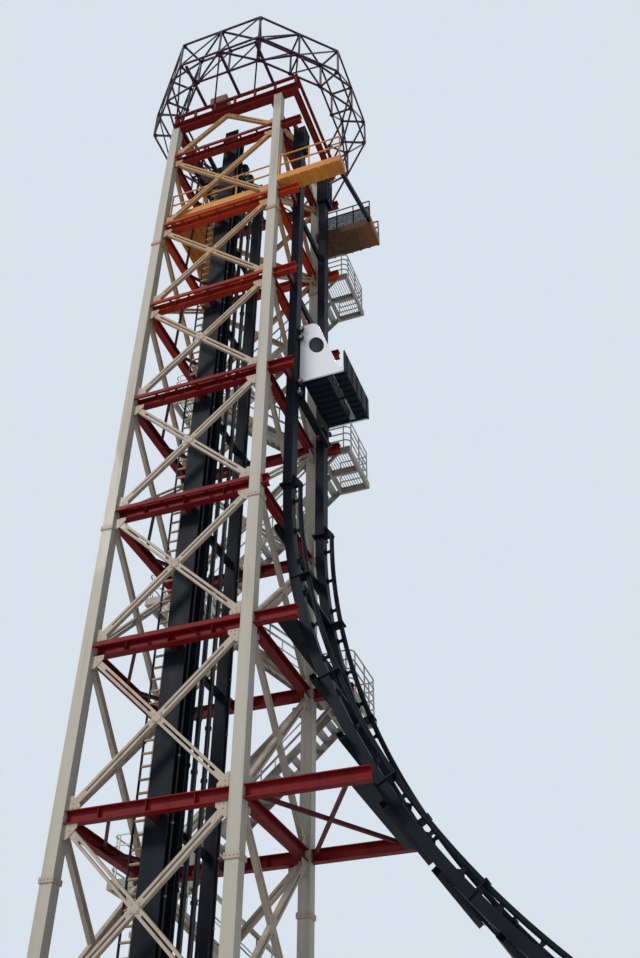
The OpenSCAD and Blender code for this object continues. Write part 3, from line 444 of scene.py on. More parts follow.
def addCrownStruts():
    # round struts from the roof's upper chords out to the crown's lower ring, each spot being
    # (x on the chord, x on the ring, y on the ring)
    look = {"radius": 0.03, "chordY": 1.975, "chordZ": 36.88, "ringZ": 36.99,
            "spots": ((-2.1, -1.12, 3.66), (-0.55, 0.42, 3.66), (1.05, 1.93, 3.66), (2.68, 3.0, 2.6))}
    shapes = []
    for side in (-1, 1):
        for chordX, ringX, ringY in look["spots"]:
            ends = [(chordX, side * look["chordY"], look["chordZ"]), (ringX, side * ringY, look["ringZ"])]
            shapes.append(tube(ends, look["radius"], 8))
    addPiece("crownStruts", shapes, "crown_paint", smooth=True)


addCrownHubs()
addCrownStruts()
print("crown details added")


def arcPoint(angle, radius, y):
    # a point of the bend, that many degrees down from its upper end: centre less radius times cosine and sine
    turn = np.radians(angle)
    x, z = size["bendX"] - radius * np.cos(turn), size["bendZ"] - radius * np.sin(turn)
    return pointsAt(x, y, z)


def arcAxes(angle):
    # directions at that angle of the bend: inward to its centre, and on along it
    c, s = np.cos(np.radians(angle)), np.sin(np.radians(angle))
    return np.array((c, 0.0, s)), np.array((s, 0.0, -c))


def addTieBeams():
    # hat-section beams below the girders, from side to side of the track, with their clamping bolts
    look = {"angles": (5.2, 20.4, 25.8, 32.0, 37.8, 43.4, 55.0, 65.0, 75.0, 85.0), "wide": 0.24, "deep": 0.13,
            "brim": 0.05, "wall": 0.012, "reach": 1.58, "gap": 0.001, "boltOn": 0.098, "boltY": 0.1}
    half, deep, wall = look["wide"] / 2, look["deep"], look["wall"]
    inner = half - look["brim"]
    outer = inner + wall
    hat = [(-half, 0), (-inner, 0), (-inner, wall - deep), (inner, wall - deep), (inner, 0), (half, 0),
           (half, -wall), (outer, -wall), (outer, -deep), (-outer, -deep), (-outer, -wall), (-half, -wall)]
    reach = np.array((0, look["reach"], 0))
    shapes, bolts = [], BoltRows()
    for angle in look["angles"]:
        inward, on = arcAxes(angle)
        foot = arcPoint(angle, size["bendR"] + size["girderH"] / 2 + look["gap"], 0.0)
        shapes.append(bar(hat, foot - reach, foot + reach, up=inward))
        for girder in girders:
            for y in (girder - look["boltY"], girder + look["boltY"]):
                for way in (-look["boltOn"], look["boltOn"]):
                    bolts.add(*(foot + (0, y, 0) + way * on - inward * wall), -inward)
    addPiece("tieBeams", shapes, "slate_paint")
    addPiece("tieBolts", stamp(boltHead, *bolts.gathered()), "slate_paint")


def addRailSaddles():
    # a lug with a waist between each girder and its running rail, at each third of a bay of the bend
    # and at each metre of the straight end
    look = {"pitch": 10 / 3, "straight": (19.4, 24.9, 1.0), "foot": 0.11, "waist": 0.035, "head": 0.055,
            "thick": 0.03, "neck": 0.06, "railUp": 0.3, "railR": 0.045}
    foot, waist, head = look["foot"], look["waist"], look["head"]
    low, high = size["girderH"] / 2, look["railUp"] - look["railR"]
    neck = low + look["neck"]
    outline = [(-foot, low), (foot, low), (waist, neck), (head, high), (-head, high), (-waist, neck)]
    angles = np.arange(look["pitch"] / 2, 90, look["pitch"])
    spots = [(arcPoint(angle, size["bendR"], 0.0), arcAxes(angle)[0]) for angle in angles]
    endZ = size["bendZ"] - size["bendR"]
    spots += [(np.array((x, 0.0, endZ)), (0, 0, 1)) for x in np.arange(*look["straight"])]
    half = np.array((0, look["thick"] / 2, 0))
    shapes = []
    for middle, up in spots:
        for girder in girders:
            lug = middle + (0, girder, 0)
            shapes.append(bar(outline, lug - half, lug + half, up=up))
    addPiece("railSaddles", shapes, "slate_paint")


def addJointBolts():
    # four bolt heads on both faces of each joint plate, set inward from the girder
    look = {"angles": range(10, 90, 10), "inward": (0.2, 0.35), "across": np.array((-0.12, 0.12)),
            "half": 0.02}
    bolts = BoltRows()
    for angle in look["angles"]:
        on = arcAxes(angle)[1]
        for girder in girders:
            for inset in look["inward"]:
                for way in (-1, 1):
                    x, y, z = arcPoint(angle, size["bendR"] - inset, girder) + way * look["half"] * on
                    bolts.add(x, y + look["across"], z, way * on)
    addPiece("jointBolts", stamp(boltHead, *bolts.gathered()), "slate_paint")


def addFootNuts():
    # washer, nut and bolt end at the four corners of each trestle's base plate
    look = {"angles": (50, 60, 70, 80), "straight": (0, 3, 6), "corner": (-0.19, 0.19), "z": 0.04}
    feet = [size["bendX"] - size["bendR"] * np.cos(np.radians(angle)) for angle in look["angles"]]
    feet += [size["bendX"] + past for past in look["straight"]]
    spots = [(x + dx, y + dy, look["z"]) for x in feet for y in girders
             for dx in look["corner"] for dy in look["corner"]]
    nut = revolve([(0.045, 0), (0.045, 0.006), (0.03, 0.006), (0.03, 0.03), (0.016, 0.034), (0.016, 0.07),
                   (0.012, 0.074)], 6)
    addPiece("footNuts", stamp(nut, spots), "zinc_grey")


addTieBeams()
addRailSaddles()
addJointBolts()
addFootNuts()
print("track details added")


def addLadderRungs():
    # round sleeves on the ladder's rungs, with bevelled ends
    look = {"x": -0.53, "y": -1.41, "first": 0.07, "pitch": 0.3, "count": 109,
            "sleeve": ((0.024, 0), (0.03, 0.008), (0.03, 0.232), (0.024, 0.24))}
    heights = look["first"] + look["pitch"] * np.arange(look["count"])
    places = pointsAt(look["x"], look["y"], heights)
    sleeves = stamp(revolve(look["sleeve"], 8), places, (1, 0, 0))
    addPiece("ladderRungs", sleeves, "rust_cream", smooth=True)


ropes = {"y": (-0.33, -0.27, 0.13, 0.19), "radius": 0.014, "bend": 0.285, "sheaveX": -0.08, "sheaveZ": 34.75,
         "drumX": -1.15, "drumZ": 35.1, "foot": 0.42, "step": 5.0, "steps": 7}


def addHoistRopes():
    # each rope rises from its socket, bends a quarter circle over its sheave and runs on to the drum
    turn = np.radians(np.linspace(0, 90, 9))
    overX = ropes["sheaveX"] + ropes["bend"] * np.cos(turn)
    overZ = ropes["sheaveZ"] + ropes["bend"] * np.sin(turn)
    rise = ropes["foot"] + ropes["step"] * np.arange(ropes["steps"])
    x = np.concatenate([np.full(ropes["steps"], overX[0]), overX, [ropes["drumX"]]])
    z = np.concatenate([rise, overZ, [ropes["drumZ"]]])
    shapes = [tube(pointsAt(x, y, z), ropes["radius"], 8, ref=(0, 1, 0)) for y in ropes["y"]]
    addPiece("hoistRopes", shapes, "rope_steel", smooth=True)


def addRopeSockets():
    # a foot plate, a spring whose radius is a cosine of its height, a top plate and a tapered socket
    look = {"z": 0.05, "radius": 0.045, "wave": 0.012, "coils": 7, "low": 0.02, "long": 0.2}
    share = np.linspace(0, 1, 29)
    radius = look["radius"] + look["wave"] * np.cos(share * look["coils"] * 2 * np.pi)
    spring = np.stack([radius, look["low"] + share * look["long"]], -1)
    profile = np.concatenate([[(0.07, 0), (0.07, 0.018)], spring,
                              [(0.058, 0.225), (0.058, 0.245), (0.03, 0.26), (0.016, 0.40)]])
    places = [(ropes["sheaveX"] + ropes["bend"], y, look["z"]) for y in ropes["y"]]
    addPiece("ropeSockets", stamp(revolve(profile, 14), places), "zinc_grey", smooth=True)


def addSheaves():
    # wheels with two grooves and dished webs, between two tapered cheek plates on the top tie
    look = {"y": (-0.30, 0.16), "rim": 0.30, "groove": 0.272, "half": 0.06, "cheekY": 0.085, "cheekT": 0.016,
            "baseZ": 34.17}
    h, rim, groove = look["half"], look["rim"], look["groove"]
    lower = [(0.04, -h), (0.09, -h), (0.10, -0.02), (0.22, -0.02), (0.24, -h), (rim, -h), (rim, 0.012 - h),
             (groove, -0.035), (groove, -0.025), (rim, -0.006)]
    wheel = lower + [(r, -z) for r, z in lower[::-1]]
    x = ropes["sheaveX"]
    places = [(x, y, ropes["sheaveZ"]) for y in look["y"]]
    addPiece("sheaves", stamp(revolve(wheel, 40), places, (0, 1, 0)), "slate_paint")
    rise = ropes["sheaveZ"] - look["baseZ"]
    cheek = [(-0.13, 0), (0.16, 0), (0.16, 0.03), (0.06, rise - 0.05), (0.045, rise + 0.04),
             (0.0, rise + 0.065), (-0.045, rise + 0.04), (-0.06, rise - 0.05), (-0.13, 0.03)]
    half = look["cheekT"] / 2
    shapes, hubs = [], []
    for y in look["y"]:
        for side in (-1, 1):
            middle = y + side * look["cheekY"]
            shapes.append(bar(cheek, (x, middle - half, look["baseZ"]), (x, middle + half, look["baseZ"])))
            hubs.append((x, middle + side * half, ropes["sheaveZ"]))
    addPiece("sheaveCheeks", shapes, "brown_paint")
    hub = revolve([(0.055, -0.03), (0.055, 0.012), (0.045, 0.022), (0.02, 0.026)], 16)
    addPiece("sheaveHubs", stamp(hub, hubs, [(0, -1, 0), (0, 1, 0)] * 2), "zinc_grey", smooth=True)


def addGuideCollars():
    # clamps round the guide tubes, about a third and two thirds of the way up each bay
    look = {"x": 0.06, "y": (-0.48, -0.11, 0.40), "rises": (1.3, 2.6),
            "ring": ((0.061, 0), (0.082, 0.008), (0.082, 0.082), (0.061, 0.09))}
    heights = np.concatenate([levels[:-1] + rise for rise in look["rises"]])
    places = [(look["x"], y, z) for y in look["y"] for z in heights]
    addPiece("guideCollars", stamp(revolve(look["ring"], 20, wrap=True), places), "slate_paint")


def addLiftConduits():
    # straight pipes down the lift columns, each (x, y, radius), with ring clips
    look = {"runs": ((0.075, -1.30, 0.024), (0.075, -1.22, 0.018), (0.13, -1.02, 0.028), (-0.09, -1.10, 0.03),
                     (-0.17, 1.12, 0.02), (0.17, 1.20, 0.02)),
            "low": 0.06, "high": 35.3, "clips": np.arange(1.0, 35.0, 1.5), "clipIn": 0.001, "clipOut": 0.01}
    pipes, clips = [], []
    for x, y, radius in look["runs"]:
        pipes.append(tube([(x, y, look["low"]), (x, y, look["high"])], radius, 10, ref=(0, 1, 0)))
        inner, outer = radius + look["clipIn"], radius + look["clipOut"]
        clip = revolve([(inner, -0.02), (outer, -0.016), (outer, 0.016), (inner, 0.02)], 10, wrap=True)
        clips.append(stamp(clip, [(x, y, z) for z in look["clips"]]))
    addPiece("liftConduits", pipes, "rope_steel", smooth=True)
    addPiece("conduitClips", clips, "zinc_grey")


def addDrumWindings():
    # rope wound on the drum between two flanges: the radius follows the size of a sine, one arch a turn
    look = {"z": 34.79, "turns": 30, "radius": 0.303, "swell": 0.011, "half": 0.405, "gap": 0.02,
            "flange": ((0.1, 0.0), (0.37, 0.0), (0.37, 0.015))}
    share = np.linspace(0, 1, look["turns"] * 4 + 1)
    radius = look["radius"] + look["swell"] * np.abs(np.sin(share * look["turns"] * np.pi))
    coil = np.stack([radius, (share * 2 - 1) * (look["half"] - look["gap"])], -1)
    near = [(r, z - look["half"]) for r, z in look["flange"]]
    profile = np.concatenate([near, coil, [(r, -z) for r, z in near[::-1]]])
    drum = stamp(revolve(profile, 36), [(ropes["drumX"], 0, look["z"])], (0, 1, 0))
    addPiece("drumWindings", drum, "rope_steel", smooth=True)


def addMotorTrim():
    # pointed cooling fins along the motor's top and sides, and a domed hood on its end
    look = {"top": (-1.43, -0.87, 15), "sides": (34.62, 35.0, 10), "x": (-1.45, -0.85), "y": (0.5, 0.98),
            "z": 35.03, "fin": ((-0.004, 0), (0.004, 0), (0.004, 0.045), (0, 0.05), (-0.004, 0.045)),
            "hood": ((0.08, 0.09), (0.16, 0.085), (0.2, 0.05), (0.205, 0)), "hoodAt": (-1.15, 1.0, 34.81)}
    (x0, x1), (y0, y1) = look["x"], look["y"]
    fins = [bar(look["fin"], (x, y0, look["z"]), (x, y1, look["z"])) for x in np.linspace(*look["top"])]
    for z in np.linspace(*look["sides"]):
        fins.append(bar(look["fin"], (x1, y1, z), (x1, y0, z), up=(1, 0, 0)))
        fins.append(bar(look["fin"], (x0, y0, z), (x0, y1, z), up=(-1, 0, 0)))
    addPiece("motorFins", fins, "brown_paint")
    hood = stamp(revolve(look["hood"], 24), look["hoodAt"], (0, 1, 0))
    addPiece("motorHood", hood, "brown_paint", smooth=True)


addLadderRungs()
addHoistRopes()
addRopeSockets()
addSheaves()
addGuideCollars()
addLiftConduits()
addDrumWindings()
addMotorTrim()
print("lift details added")


def addDeckJoists():
    # top-hat joists below the decks, each row being (first x, last x, count, y from, y to, z)
    look = {"rows": ((2.24, 4.30, 7, -2.02, -1.505, 30.62), (2.24, 4.20, 7, 1.505, 2.495, 31.87),
                     (-1.75, -0.8, 5, -1.4, 1.78, 30.62)),
            "hat": ((-0.06, 0), (-0.06, -0.006), (-0.034, -0.006), (-0.028, -0.045), (0.028, -0.045),
                    (0.034, -0.006), (0.06, -0.006), (0.06, 0))}
    shapes = [bar(look["hat"], (x, y0, z), (x, y1, z)) for x0, x1, count, y0, y1, z in look["rows"]
              for x in np.linspace(x0, x1, count)]
    addPiece("deckJoists", shapes, "deck_paint")


def addToeBoards():
    # upright boards with a lip along the decks' edges
    look = {"runs": (((2.2, -1.51, 30.9), (4.33, -1.51, 30.9)), ((4.335, -2.0, 30.9), (4.335, -1.51, 30.9)),
                     ((4.235, 1.51, 32.15), (4.235, 2.46, 32.15)), ((-1.8, -1.45, 30.9), (1.8, -1.45, 30.9))),
            "board": ((-0.004, 0), (0.004, 0), (0.004, 0.13), (0.012, 0.14), (0.012, 0.145), (-0.004, 0.145))}
    boards = [bar(look["board"], start, end) for start, end in look["runs"]]
    addPiece("toeBoards", boards, "deck_paint")


def addTrackGuard():
    # posts and round rails beside the track on the far deck, and slanting wires that cross between the
    # lower rails, each cut where it would leave the frame
    look = {"x": (2.35, 4.2), "y": 1.56, "z": 32.15, "high": 1.1, "low": 0.06, "mesh": 0.72, "posts": 4,
            "radius": 0.022, "wires": 64, "wire": 0.008, "run": 0.5}
    (x0, x1), y, z = look["x"], look["y"], look["z"]
    heights = (look["low"], look["high"] * look["mesh"], look["high"])
    shapes = [tube([(x0, y, z + rise), (x1, y, z + rise)], look["radius"], 10) for rise in heights]
    shapes += [tube([(x, y, z), (x, y, z + look["high"])], look["radius"], 10, ref=(0, 1, 0))
               for x in np.linspace(x0, x1, look["posts"])]
    addPiece("trackGuard", shapes, "slate_paint", smooth=True)
    run, foot, rise = look["run"], z + heights[0], heights[1] - heights[0]
    behind = y + look["wire"]
    wires = []
    for x in np.linspace(x0 - run, x1, look["wires"] + 2)[1:-1]:
        low, high = max(x, x0), min(x + run, x1)
        up, down = (low - x) / run * rise, (high - x) / run * rise
        for line in ([(low, y, foot + up), (high, y, foot + down)],
                     [(low, behind, foot + rise - up), (high, behind, foot + rise - down)]):
            wires.append(tube(line, look["wire"], 5, ref=(0, 1, 0)))
    addPiece("guardWires", wires, "slate_paint", smooth=True)


def addHeadDetails():
    # hipped lids as stacked rectangles, each (inset, rise), tapered ribs and bolt heads on the boxes over
    # the drop columns
    look = {"x": (2.43, 2.84), "half": 0.24, "z": (33.2, 34.38), "ribY": 0.12, "ribEnds": (0.12, 0.04),
            "lid": ((0.0, 0.0), (-0.012, 0.006), (-0.012, 0.024), (0.10, 0.07)), "boltIn": 0.06,
            "rib": ((-0.014, 0), (0.014, 0), (0.007, 0.03), (-0.007, 0.03))}
    (x0, x1), (z0, z1), inset = look["x"], look["z"], look["boltIn"]
    low, high = z0 + look["ribEnds"][0], z1 - look["ribEnds"][1]
    shapes, bolts = [], BoltRows()
    for middle in girders:
        y0, y1 = middle - look["half"], middle + look["half"]
        shapes.append(loft(np.stack([
            pointsAt((x0 + a, x1 - a, x1 - a, x0 + a), (y0 + a, y0 + a, y1 - a, y1 - a), z1 + rise)
            for a, rise in look["lid"]])))
        for y in (middle - look["ribY"], middle + look["ribY"]):
            for x, way in ((x0, -1), (x1, 1)):
                shapes.append(bar(look["rib"], (x, y, low), (x, y, high), up=(way, 0, 0)))
        for y, side in ((y0, -1), (y1, 1)):
            for z in (z0 + inset, z1 - inset):
                bolts.add(np.linspace(x0 + inset, x1 - inset, 4), y, z, (0, side, 0))
    addPiece("headLids", shapes, "slate_paint")
    addPiece("headBolts", stamp(boltHead, *bolts.gathered()), "slate_paint")


addDeckJoists()
addToeBoards()
addTrackGuard()
addHeadDetails()
print("deck details added")


def addStairDetails():
    # a half-round nosing on every tread, and a round cap along each slanted handrail that bends down
    # at its lower end by the steps in bend, each (along, up)
    look = {"x": 2.2, "y": 2.085, "lane": 0.94, "wide": 0.8, "treads": 18, "noseX": 0.017, "noseZ": 0.007,
            "noseAt": (-0.04, 0.02, 0.03), "railFrom": 0.25, "railShort": 0.74, "railY": (-0.015, 0.845),
            "railZ": 1.066, "bend": ((-0.05, -0.16), (-0.045, -0.06), (0.0, 0.0)), "cap": 0.024}
    turn = np.radians(np.linspace(0, 180, 7))
    nose = np.stack([look["noseX"] * np.cos(turn), look["noseZ"] * np.sin(turn)], -1)
    nosing = bar(nose, (0, 0, 0), (0, look["wide"], 0))
    dx, dy, dz = look["noseAt"]
    noses, caps = [], []
    for flight, landing in enumerate(levels[:-1]):
        part, rise = (1, size["bay"]) if flight else (0.5, size["base"])  # half a flight from the ground
        run, count = 2 * look["x"] * part, int(look["treads"] * part)
        side = 1 if flight % 2 else -1
        lane = look["y"] + (flight % 2) * look["lane"]
        start, low, slope = look["x"] - run, landing - rise, rise / run
        share = np.arange(1, count + 1) / (count + 1)
        noses.append(pointsAt(side * (start + share * run + dx), lane + dy, low + share * rise + dz))
        x0, x1 = start + look["railFrom"], start + run - look["railShort"]
        z0 = low + look["railFrom"] * slope + look["railZ"]
        z1 = z0 + (x1 - x0) * slope
        for railY in look["railY"]:
            y = lane + railY
            path = [(side * (x0 + along), y, z0 + up) for along, up in look["bend"]] + [(side * x1, y, z1)]
            caps.append(tube(path, look["cap"], 10, ref=(0, 1, 0)))
    addPiece("treadNosings", stamp(nosing, np.concatenate(noses), ref=(0, 1, 0)), "zinc_grey")
    addPiece("handrailCaps", caps, "zinc_grey", smooth=True)


addStairDetails()
print("stair details added")


def addCabinetDetails():
    # a door whose outline is four quarter circles, with bent louvres, two hinges and a swing handle
    look = {"x": (-0.71, -0.14), "z": (36.94, 37.34), "y": -1.97, "corner": 0.03, "thick": 0.014,
            "slat": ((0, 0), (0.022, -0.012), (0.024, -0.009), (0.003, 0.006)), "slatX": (-0.36, -0.62),
            "slatZ": (37.02, 37.28, 0.035), "hingeZ": (36.98, 37.22), "hingeUp": 0.07, "hingeR": 0.011,
            "hingeOut": 0.012,
            "handle": ((-0.21, -1.985, 37.1), (-0.21, -2.01, 37.11), (-0.21, -2.012, 37.19),
                       (-0.21, -1.985, 37.2)), "handleR": 0.008}
    (x0, x1), (z0, z1), r = look["x"], look["z"], look["corner"]
    turn = np.radians(np.linspace(0, 90, 6))
    corners = ((x1 - r, z1 - r), (x0 + r, z1 - r), (x0 + r, z0 + r), (x1 - r, z0 + r))
    outline = []
    for x, z in corners:
        outline.append(pointsAt(x + r * np.cos(turn), look["y"], z + r * np.sin(turn)))
        turn = turn + np.pi / 2
    back = np.concatenate(outline)
    door = loft(np.stack([back, back - (0, look["thick"], 0)]))
    front = look["y"] - look["thick"]
    slats = [bar(look["slat"], (look["slatX"][0], front, z), (look["slatX"][1], front, z))
             for z in np.arange(*look["slatZ"])]
    hingeX, hingeY = x1 + look["hingeOut"], look["y"] - look["hingeOut"]
    hinges = [tube([(hingeX, hingeY, z), (hingeX, hingeY, z + look["hingeUp"])], look["hingeR"], 10,
                   ref=(0, 1, 0)) for z in look["hingeZ"]]
    handle = tube(look["handle"], look["handleR"], 8, ref=(1, 0, 0))
    addPiece("cabinetDoor", [door] + slats, "brown_paint")
    addPiece("cabinetFittings", hinges + [handle], "zinc_grey", smooth=True)


addCabinetDetails()
print("cabinet details added")

# The car's place and sizes, shared by its pieces below
car = {"x": 2.725, "z": 21.4, "pitch": 0.5, "floor": 0.7, "high": 2.95, "deep": 1.36, "half": 1.05}
seatRows = np.array((-1.5, -0.5, 0.5, 1.5)) * car["pitch"]


def power(value, exponent):
    # the size of a value to a power, with the value's own sign
    return np.sign(value) * np.abs(value) ** exponent


def seatPad(wide, high, thick, channels):
    # superellipse outline and a crowned face: thickness falls to the rim, and narrow bell-shaped
    # channels are sewn into it across its width
    u = np.linspace(0, 2 * np.pi, 48, endpoint=False)
    v = np.linspace(-np.pi / 2 + 0.02, np.pi / 2 - 0.02, 23)[:, None]
    x = wide / 2 * power(np.cos(v), 0.35) * power(np.cos(u), 0.35)
    y = high / 2 * power(np.cos(v), 0.35) * power(np.sin(u), 0.35)
    crown = 1 + 0.25 * np.cos(np.pi * x / wide) * np.cos(np.pi * y / high)
    wave = np.sin(np.pi * (y / high + 0.5) * channels)
    seam = 1 - 0.32 * np.exp(-(wave * 5) ** 2) * (np.abs(y) < high * 0.42)
    z = thick / 2 * power(np.sin(v), 0.6) * crown * seam
    return loft(np.stack([x, y, z + 0 * x], -1))


def placed(shape, origin, across, along):
    # puts a shape's X on across and its Y on along
    x, y = unit(across), unit(along)
    verts = shape[0] @ np.stack([x, y, np.cross(x, y)]) + np.asarray(origin, float)
    return verts, shape[1]


def addSeats():
    # a base cushion, a channelled back cushion and a head pad for each of the four riders, each with its
    # (width, height, thickness, channels), its place (x, z) in the car, the way its height runs and its fill
    look = {"seatCushions": ((0.41, 0.44, 0.10, 3), (0.565, 1.175), (0.99, 0, 0.105), 0.8),
            "backCushions": ((0.40, 0.84, 0.10, 5), (0.272, 1.62), (-0.1, 0, 1), 0.8),
            "headPads": ((0.34, 0.30, 0.10, 1), (0.315, 2.34), (0.05, 0, 1), 0.7)}
    for name, (pad, (x, z), along, fill) in look.items():
        shape = seatPad(*pad)
        pads = [placed(shape, (car["x"] + x, y, car["z"] + z), (0, 1, 0), along) for y in seatRows]
        addPiece(name, pads, "seat_skin", "car", smooth=True)


def addLapPads():
    # foam sleeve round each lap bar: a tube whose radius falls slowly from its middle and fast at its ends
    look = {"x": 0.605, "z": 1.72, "long": 0.40, "radius": 0.062}
    t = np.linspace(-1, 1, 25)
    x, z = car["x"] + look["x"], car["z"] + look["z"]
    radius = look["radius"] * (1 - 0.3 * np.abs(t) ** 6) * (1 - 0.08 * t ** 2)
    shapes = [tube(pointsAt(x, y + t * look["long"] / 2, z), radius, 20) for y in seatRows]
    addPiece("lapPads", shapes, "seat_skin", "car", smooth=True)


def shellOutline():
    # the side shell's corners, from the frame round the front to the top, as shares of depth and height
    b, d, top = car["floor"], car["deep"], car["high"] - car["floor"]
    front = d - 0.0403
    slope = np.array([(0.83, 0.14), (0.68, 0.42), (0.52, 0.74), (0.44, 0.9), (0.37, 0.97), (0.28, 1.0)])
    return np.concatenate([[(0.03, b), (front, b), (front, b + 0.13), (d * 0.9, b + 0.15)],
                           slope * (d, top) + (0, b), [(0.03, b + top)]])


def addShellBeads():
    # a round bead along each side shell's edge, from its lower front corner to its top
    look = {"bead": 0.012, "inset": 0.003}
    corners = shellOutline()
    steps = np.linspace(0, 1, 8)[:-1, None]
    line = np.concatenate([a + (b - a) * steps for a, b in zip(corners[1:-1], corners[2:])] + [corners[-1:]])
    x, z = car["x"] + line[:, 0], car["z"] + line[:, 1]
    y = car["half"] - look["inset"]
    beads = [tube(pointsAt(x, side * y, z), look["bead"], 8, ref=(0, 1, 0)) for side in (-1, 1)]
    addPiece("shellBeads", beads, "white_shell", "car", smooth=True)


def addWindows():
    # a tilted ellipse on each side shell: a round ring along it, and a pane whose depth is a cosine of
    # the share of the way out to the ring, with a flat back
    look = {"ring": 0.009, "tilt": 20, "dome": 0.02, "back": -0.008, "paneIn": 0.025, "ringIn": 0.003,
            "middle": (0.38, 0.58), "reach": (0.15, 0.15)}
    u = np.linspace(0, 2 * np.pi, 40, endpoint=False)
    tall, tilt = car["high"] - car["floor"], np.radians(look["tilt"])
    middle = np.array((car["x"] + car["deep"] * look["middle"][0], 0,
                       car["z"] + car["floor"] + tall * look["middle"][1]))
    a, b = car["deep"] * look["reach"][0] * np.cos(u), tall * look["reach"][1] * np.sin(u)
    oval = np.stack([a * np.cos(tilt) - b * np.sin(tilt), 0 * u, a * np.sin(tilt) + b * np.cos(tilt)], -1)
    out = np.linspace(0.04, 0.98, 7)
    share = np.concatenate([out, out[::-1]])[:, None, None]
    depth = np.concatenate([np.cos(out * np.pi / 2) * look["dome"], np.full(len(out), look["back"])])[:, None]
    rings, panes = [], []
    for side in (-1, 1):
        ringY = side * (car["half"] - look["ringIn"])
        rings.append(tube(middle + oval + (0, ringY, 0), look["ring"], 8, wrap=True, ref=(0, 1, 0)))
        points = middle + oval * share
        points[:, :, 1] = side * (car["half"] - look["paneIn"] + depth)
        panes.append(loft(points))
    addPiece("windowRings", rings, "seat_black", "car", smooth=True)
    addPiece("windowPanes", panes, "dark_pane", "car", smooth=True)


def addCarRibs():
    # tapered ribs across the underside, in two fields (from x, to x), and up the foot guard
    look = {"fields": ((0.16, 0.8), (1.02, 1.3)), "floorY": (-0.9, 0.9, 9), "guardX": 1.36,
            "guardZ": (0.76, 1.42), "guardY": (-0.85, 0.85, 5),
            "rib": ((-0.02, 0), (-0.012, -0.03), (0.012, -0.03), (0.02, 0)),
            "guardRib": ((-0.03, 0), (-0.02, 0.02), (0.02, 0.02), (0.03, 0))}
    x, z = car["x"], car["z"]
    low = z + car["floor"]
    ribs = [bar(look["rib"], (x + x0, y, low), (x + x1, y, low)) for x0, x1 in look["fields"]
            for y in np.linspace(*look["floorY"])]
    (z0, z1), guardX = look["guardZ"], x + look["guardX"]
    ribs += [bar(look["guardRib"], (guardX, y, z + z0), (guardX, y, z + z1), up=(1, 0, 0))
             for y in np.linspace(*look["guardY"])]
    addPiece("carRibs", ribs, "slate_paint", "car")


def addGuardBead():
    # a pale round bead up one side of the foot guard, along its top and down the other side
    look = {"x": 1.34, "y": 1.03, "low": 0.74, "top": 0.78, "corner": 0.03, "radius": 0.02}
    x, y, low = car["x"] + look["x"], look["y"], car["z"] + look["low"]
    top, corner = car["z"] + car["floor"] + look["top"], look["corner"]
    half = [(x, -y, low), (x, -y, top - corner), (x, corner - y, top)]
    path = half + [(x, -y, z) for x, y, z in half[::-1]]
    bead = tube(path, look["radius"], 10, ref=(1, 0, 0))
    addPiece("guardBead", bead, "pale_trim", "car", smooth=True)


def addGrabBars():
    # bent round bars between the seats, through the points (x, z)
    look = {"path": ((0.34, 1.5), (0.42, 1.52), (0.46, 1.6), (0.46, 1.8), (0.42, 1.88), (0.3, 1.9)),
            "radius": 0.014, "rows": (-1, 0, 1)}
    x, z = np.array(look["path"]).T + [[car["x"]], [car["z"]]]
    bars = [tube(pointsAt(x, row * car["pitch"], z), look["radius"], 10, ref=(0, 1, 0))
            for row in look["rows"]]
    addPiece("grabBars", bars, "pale_trim", "car", smooth=True)


def addWheelTrim():
    # a stepped hub cap and a rounded tyre step on the outer face of each running wheel
    look = {"x": 0.0855, "y": 1.195, "heights": (0.06, 0.2, 0.8, 0.92),
            "cap": ((0.06, 0), (0.06, 0.006), (0.035, 0.012), (0.035, 0.02), (0.02, 0.026), (0.008, 0.027)),
            "tyre": ((0.064, 0), (0.076, 0.001), (0.080, 0.005), (0.072, 0.0055), (0.066, 0.004))}
    x, heights = car["x"] + look["x"], car["z"] + np.array(look["heights"]) * car["high"]
    places = np.concatenate([pointsAt(x, side * look["y"], heights) for side in (-1, 1)])
    axes = np.sign(places) * (0, 1, 0)
    cap, tyre = revolve(look["cap"], 20), revolve(look["tyre"], 28, wrap=True)
    addPiece("wheelCaps", stamp(cap, places, axes), "zinc_grey", "car", smooth=True)
    addPiece("tyreSteps", stamp(tyre, places, axes), "wheel_tyre", "car", smooth=True)


addSeats()
addLapPads()
addShellBeads()
addWindows()
addCarRibs()
addGuardBead()
addGrabBars()
addWheelTrim()
print("car details added")


def addStage():
    # a wide pale floor
    stage = {"span": 900.0, "color": (0.68, 0.69, 0.70), "rough": 0.85}
    span = stage["span"]
    mesh = bpy.data.meshes.new("floor")
    corners = [(-span, -span, 0), (span, -span, 0), (span, span, 0), (-span, span, 0)]
    mesh.from_pydata(corners, [], [(0, 1, 2, 3)])
    floor = bpy.data.objects.new("floor", mesh)
    scene.collection.objects.link(floor)
    mesh.materials.append(Paint("floor").finish(rgb(stage["color"]), stage["rough"]))


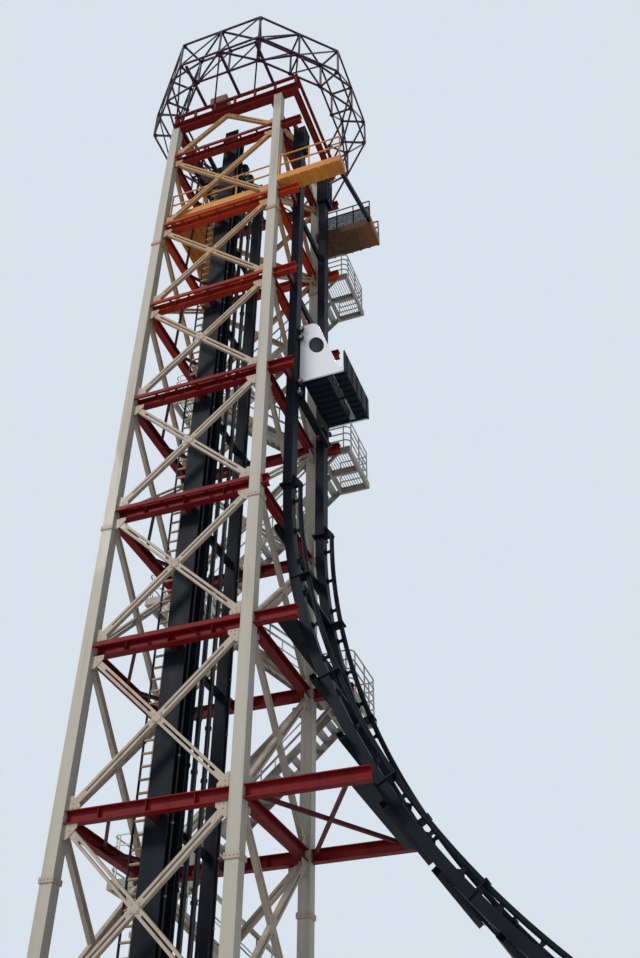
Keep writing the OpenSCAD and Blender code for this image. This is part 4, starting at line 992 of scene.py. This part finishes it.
def addLight():
    # one broad sun and an even glow from all round, which the camera sees as the background's colour
    look = {"glow": (0.92, 0.95, 1.0, 1), "glowPower": 0.5, "back": (0.70, 0.76, 0.84, 1), "backPower": 1.0,
            "sunPower": 2.05, "sunAngle": 12, "sunColor": (1.0, 0.95, 0.88), "sunFrom": (-0.55, -0.62, 0.62)}
    scene.world = bpy.data.worlds.new("studio")
    sky = Nodes(scene.world)
    seen = sky.node("ShaderNodeLightPath", out="Is Camera Ray")
    for ray in ("Is Glossy Ray", "Is Transmission Ray"):  # metal and glass show the background too
        seen = seen.calc("MAXIMUM", seen, sky.node("ShaderNodeLightPath", out=ray))
    glow = sky.node("ShaderNodeBackground", inputs={"Color": look["glow"], "Strength": look["glowPower"]})
    back = sky.node("ShaderNodeBackground", inputs={"Color": look["back"], "Strength": look["backPower"]})
    both = sky.node("ShaderNodeMixShader", inputs={0: seen, 1: glow, 2: back})
    sky.node("ShaderNodeOutputWorld", inputs={"Surface": both})
    lamp = bpy.data.lights.new("key", "SUN")
    lamp.energy = look["sunPower"]
    lamp.angle = math.radians(look["sunAngle"])
    lamp.color = look["sunColor"]
    key = bpy.data.objects.new("key", lamp)
    key.rotation_euler = Vector(look["sunFrom"]).to_track_quat("Z", "Y").to_euler()
    scene.collection.objects.link(key)


def addCamera():
    # stands at place, turned left by pan, up by pitch and about its own view by roll, in degrees
    shot = {"place": (10.518, -19.848, 1.6), "pan": 20.779, "pitch": 39.897, "roll": 0.455, "lens": 39.06,
            "sensor": 36.0, "farthest": 2500.0}
    pan, pitch, roll = (math.radians(shot[key]) for key in ("pan", "pitch", "roll"))
    ahead = Vector((-math.sin(pan) * math.cos(pitch), math.cos(pan) * math.cos(pitch), math.sin(pitch)))
    level = Vector((math.cos(pan), math.sin(pan), 0))
    upright = level.cross(ahead)
    right = level * math.cos(roll) + upright * math.sin(roll)
    up = upright * math.cos(roll) - level * math.sin(roll)
    data = bpy.data.cameras.new("camera")
    data.lens = shot["lens"]
    data.sensor_width = shot["sensor"]
    data.clip_end = shot["farthest"]
    camera = bpy.data.objects.new("camera", data)
    turned = Matrix((right, up, -ahead)).transposed()
    camera.matrix_world = Matrix.Translation(shot["place"]) @ turned.to_4x4()
    scene.collection.objects.link(camera)
    scene.camera = camera


addStage()
addLight()
addCamera()
scene.view_settings.view_transform = "Standard"
print("stage, light and camera set")
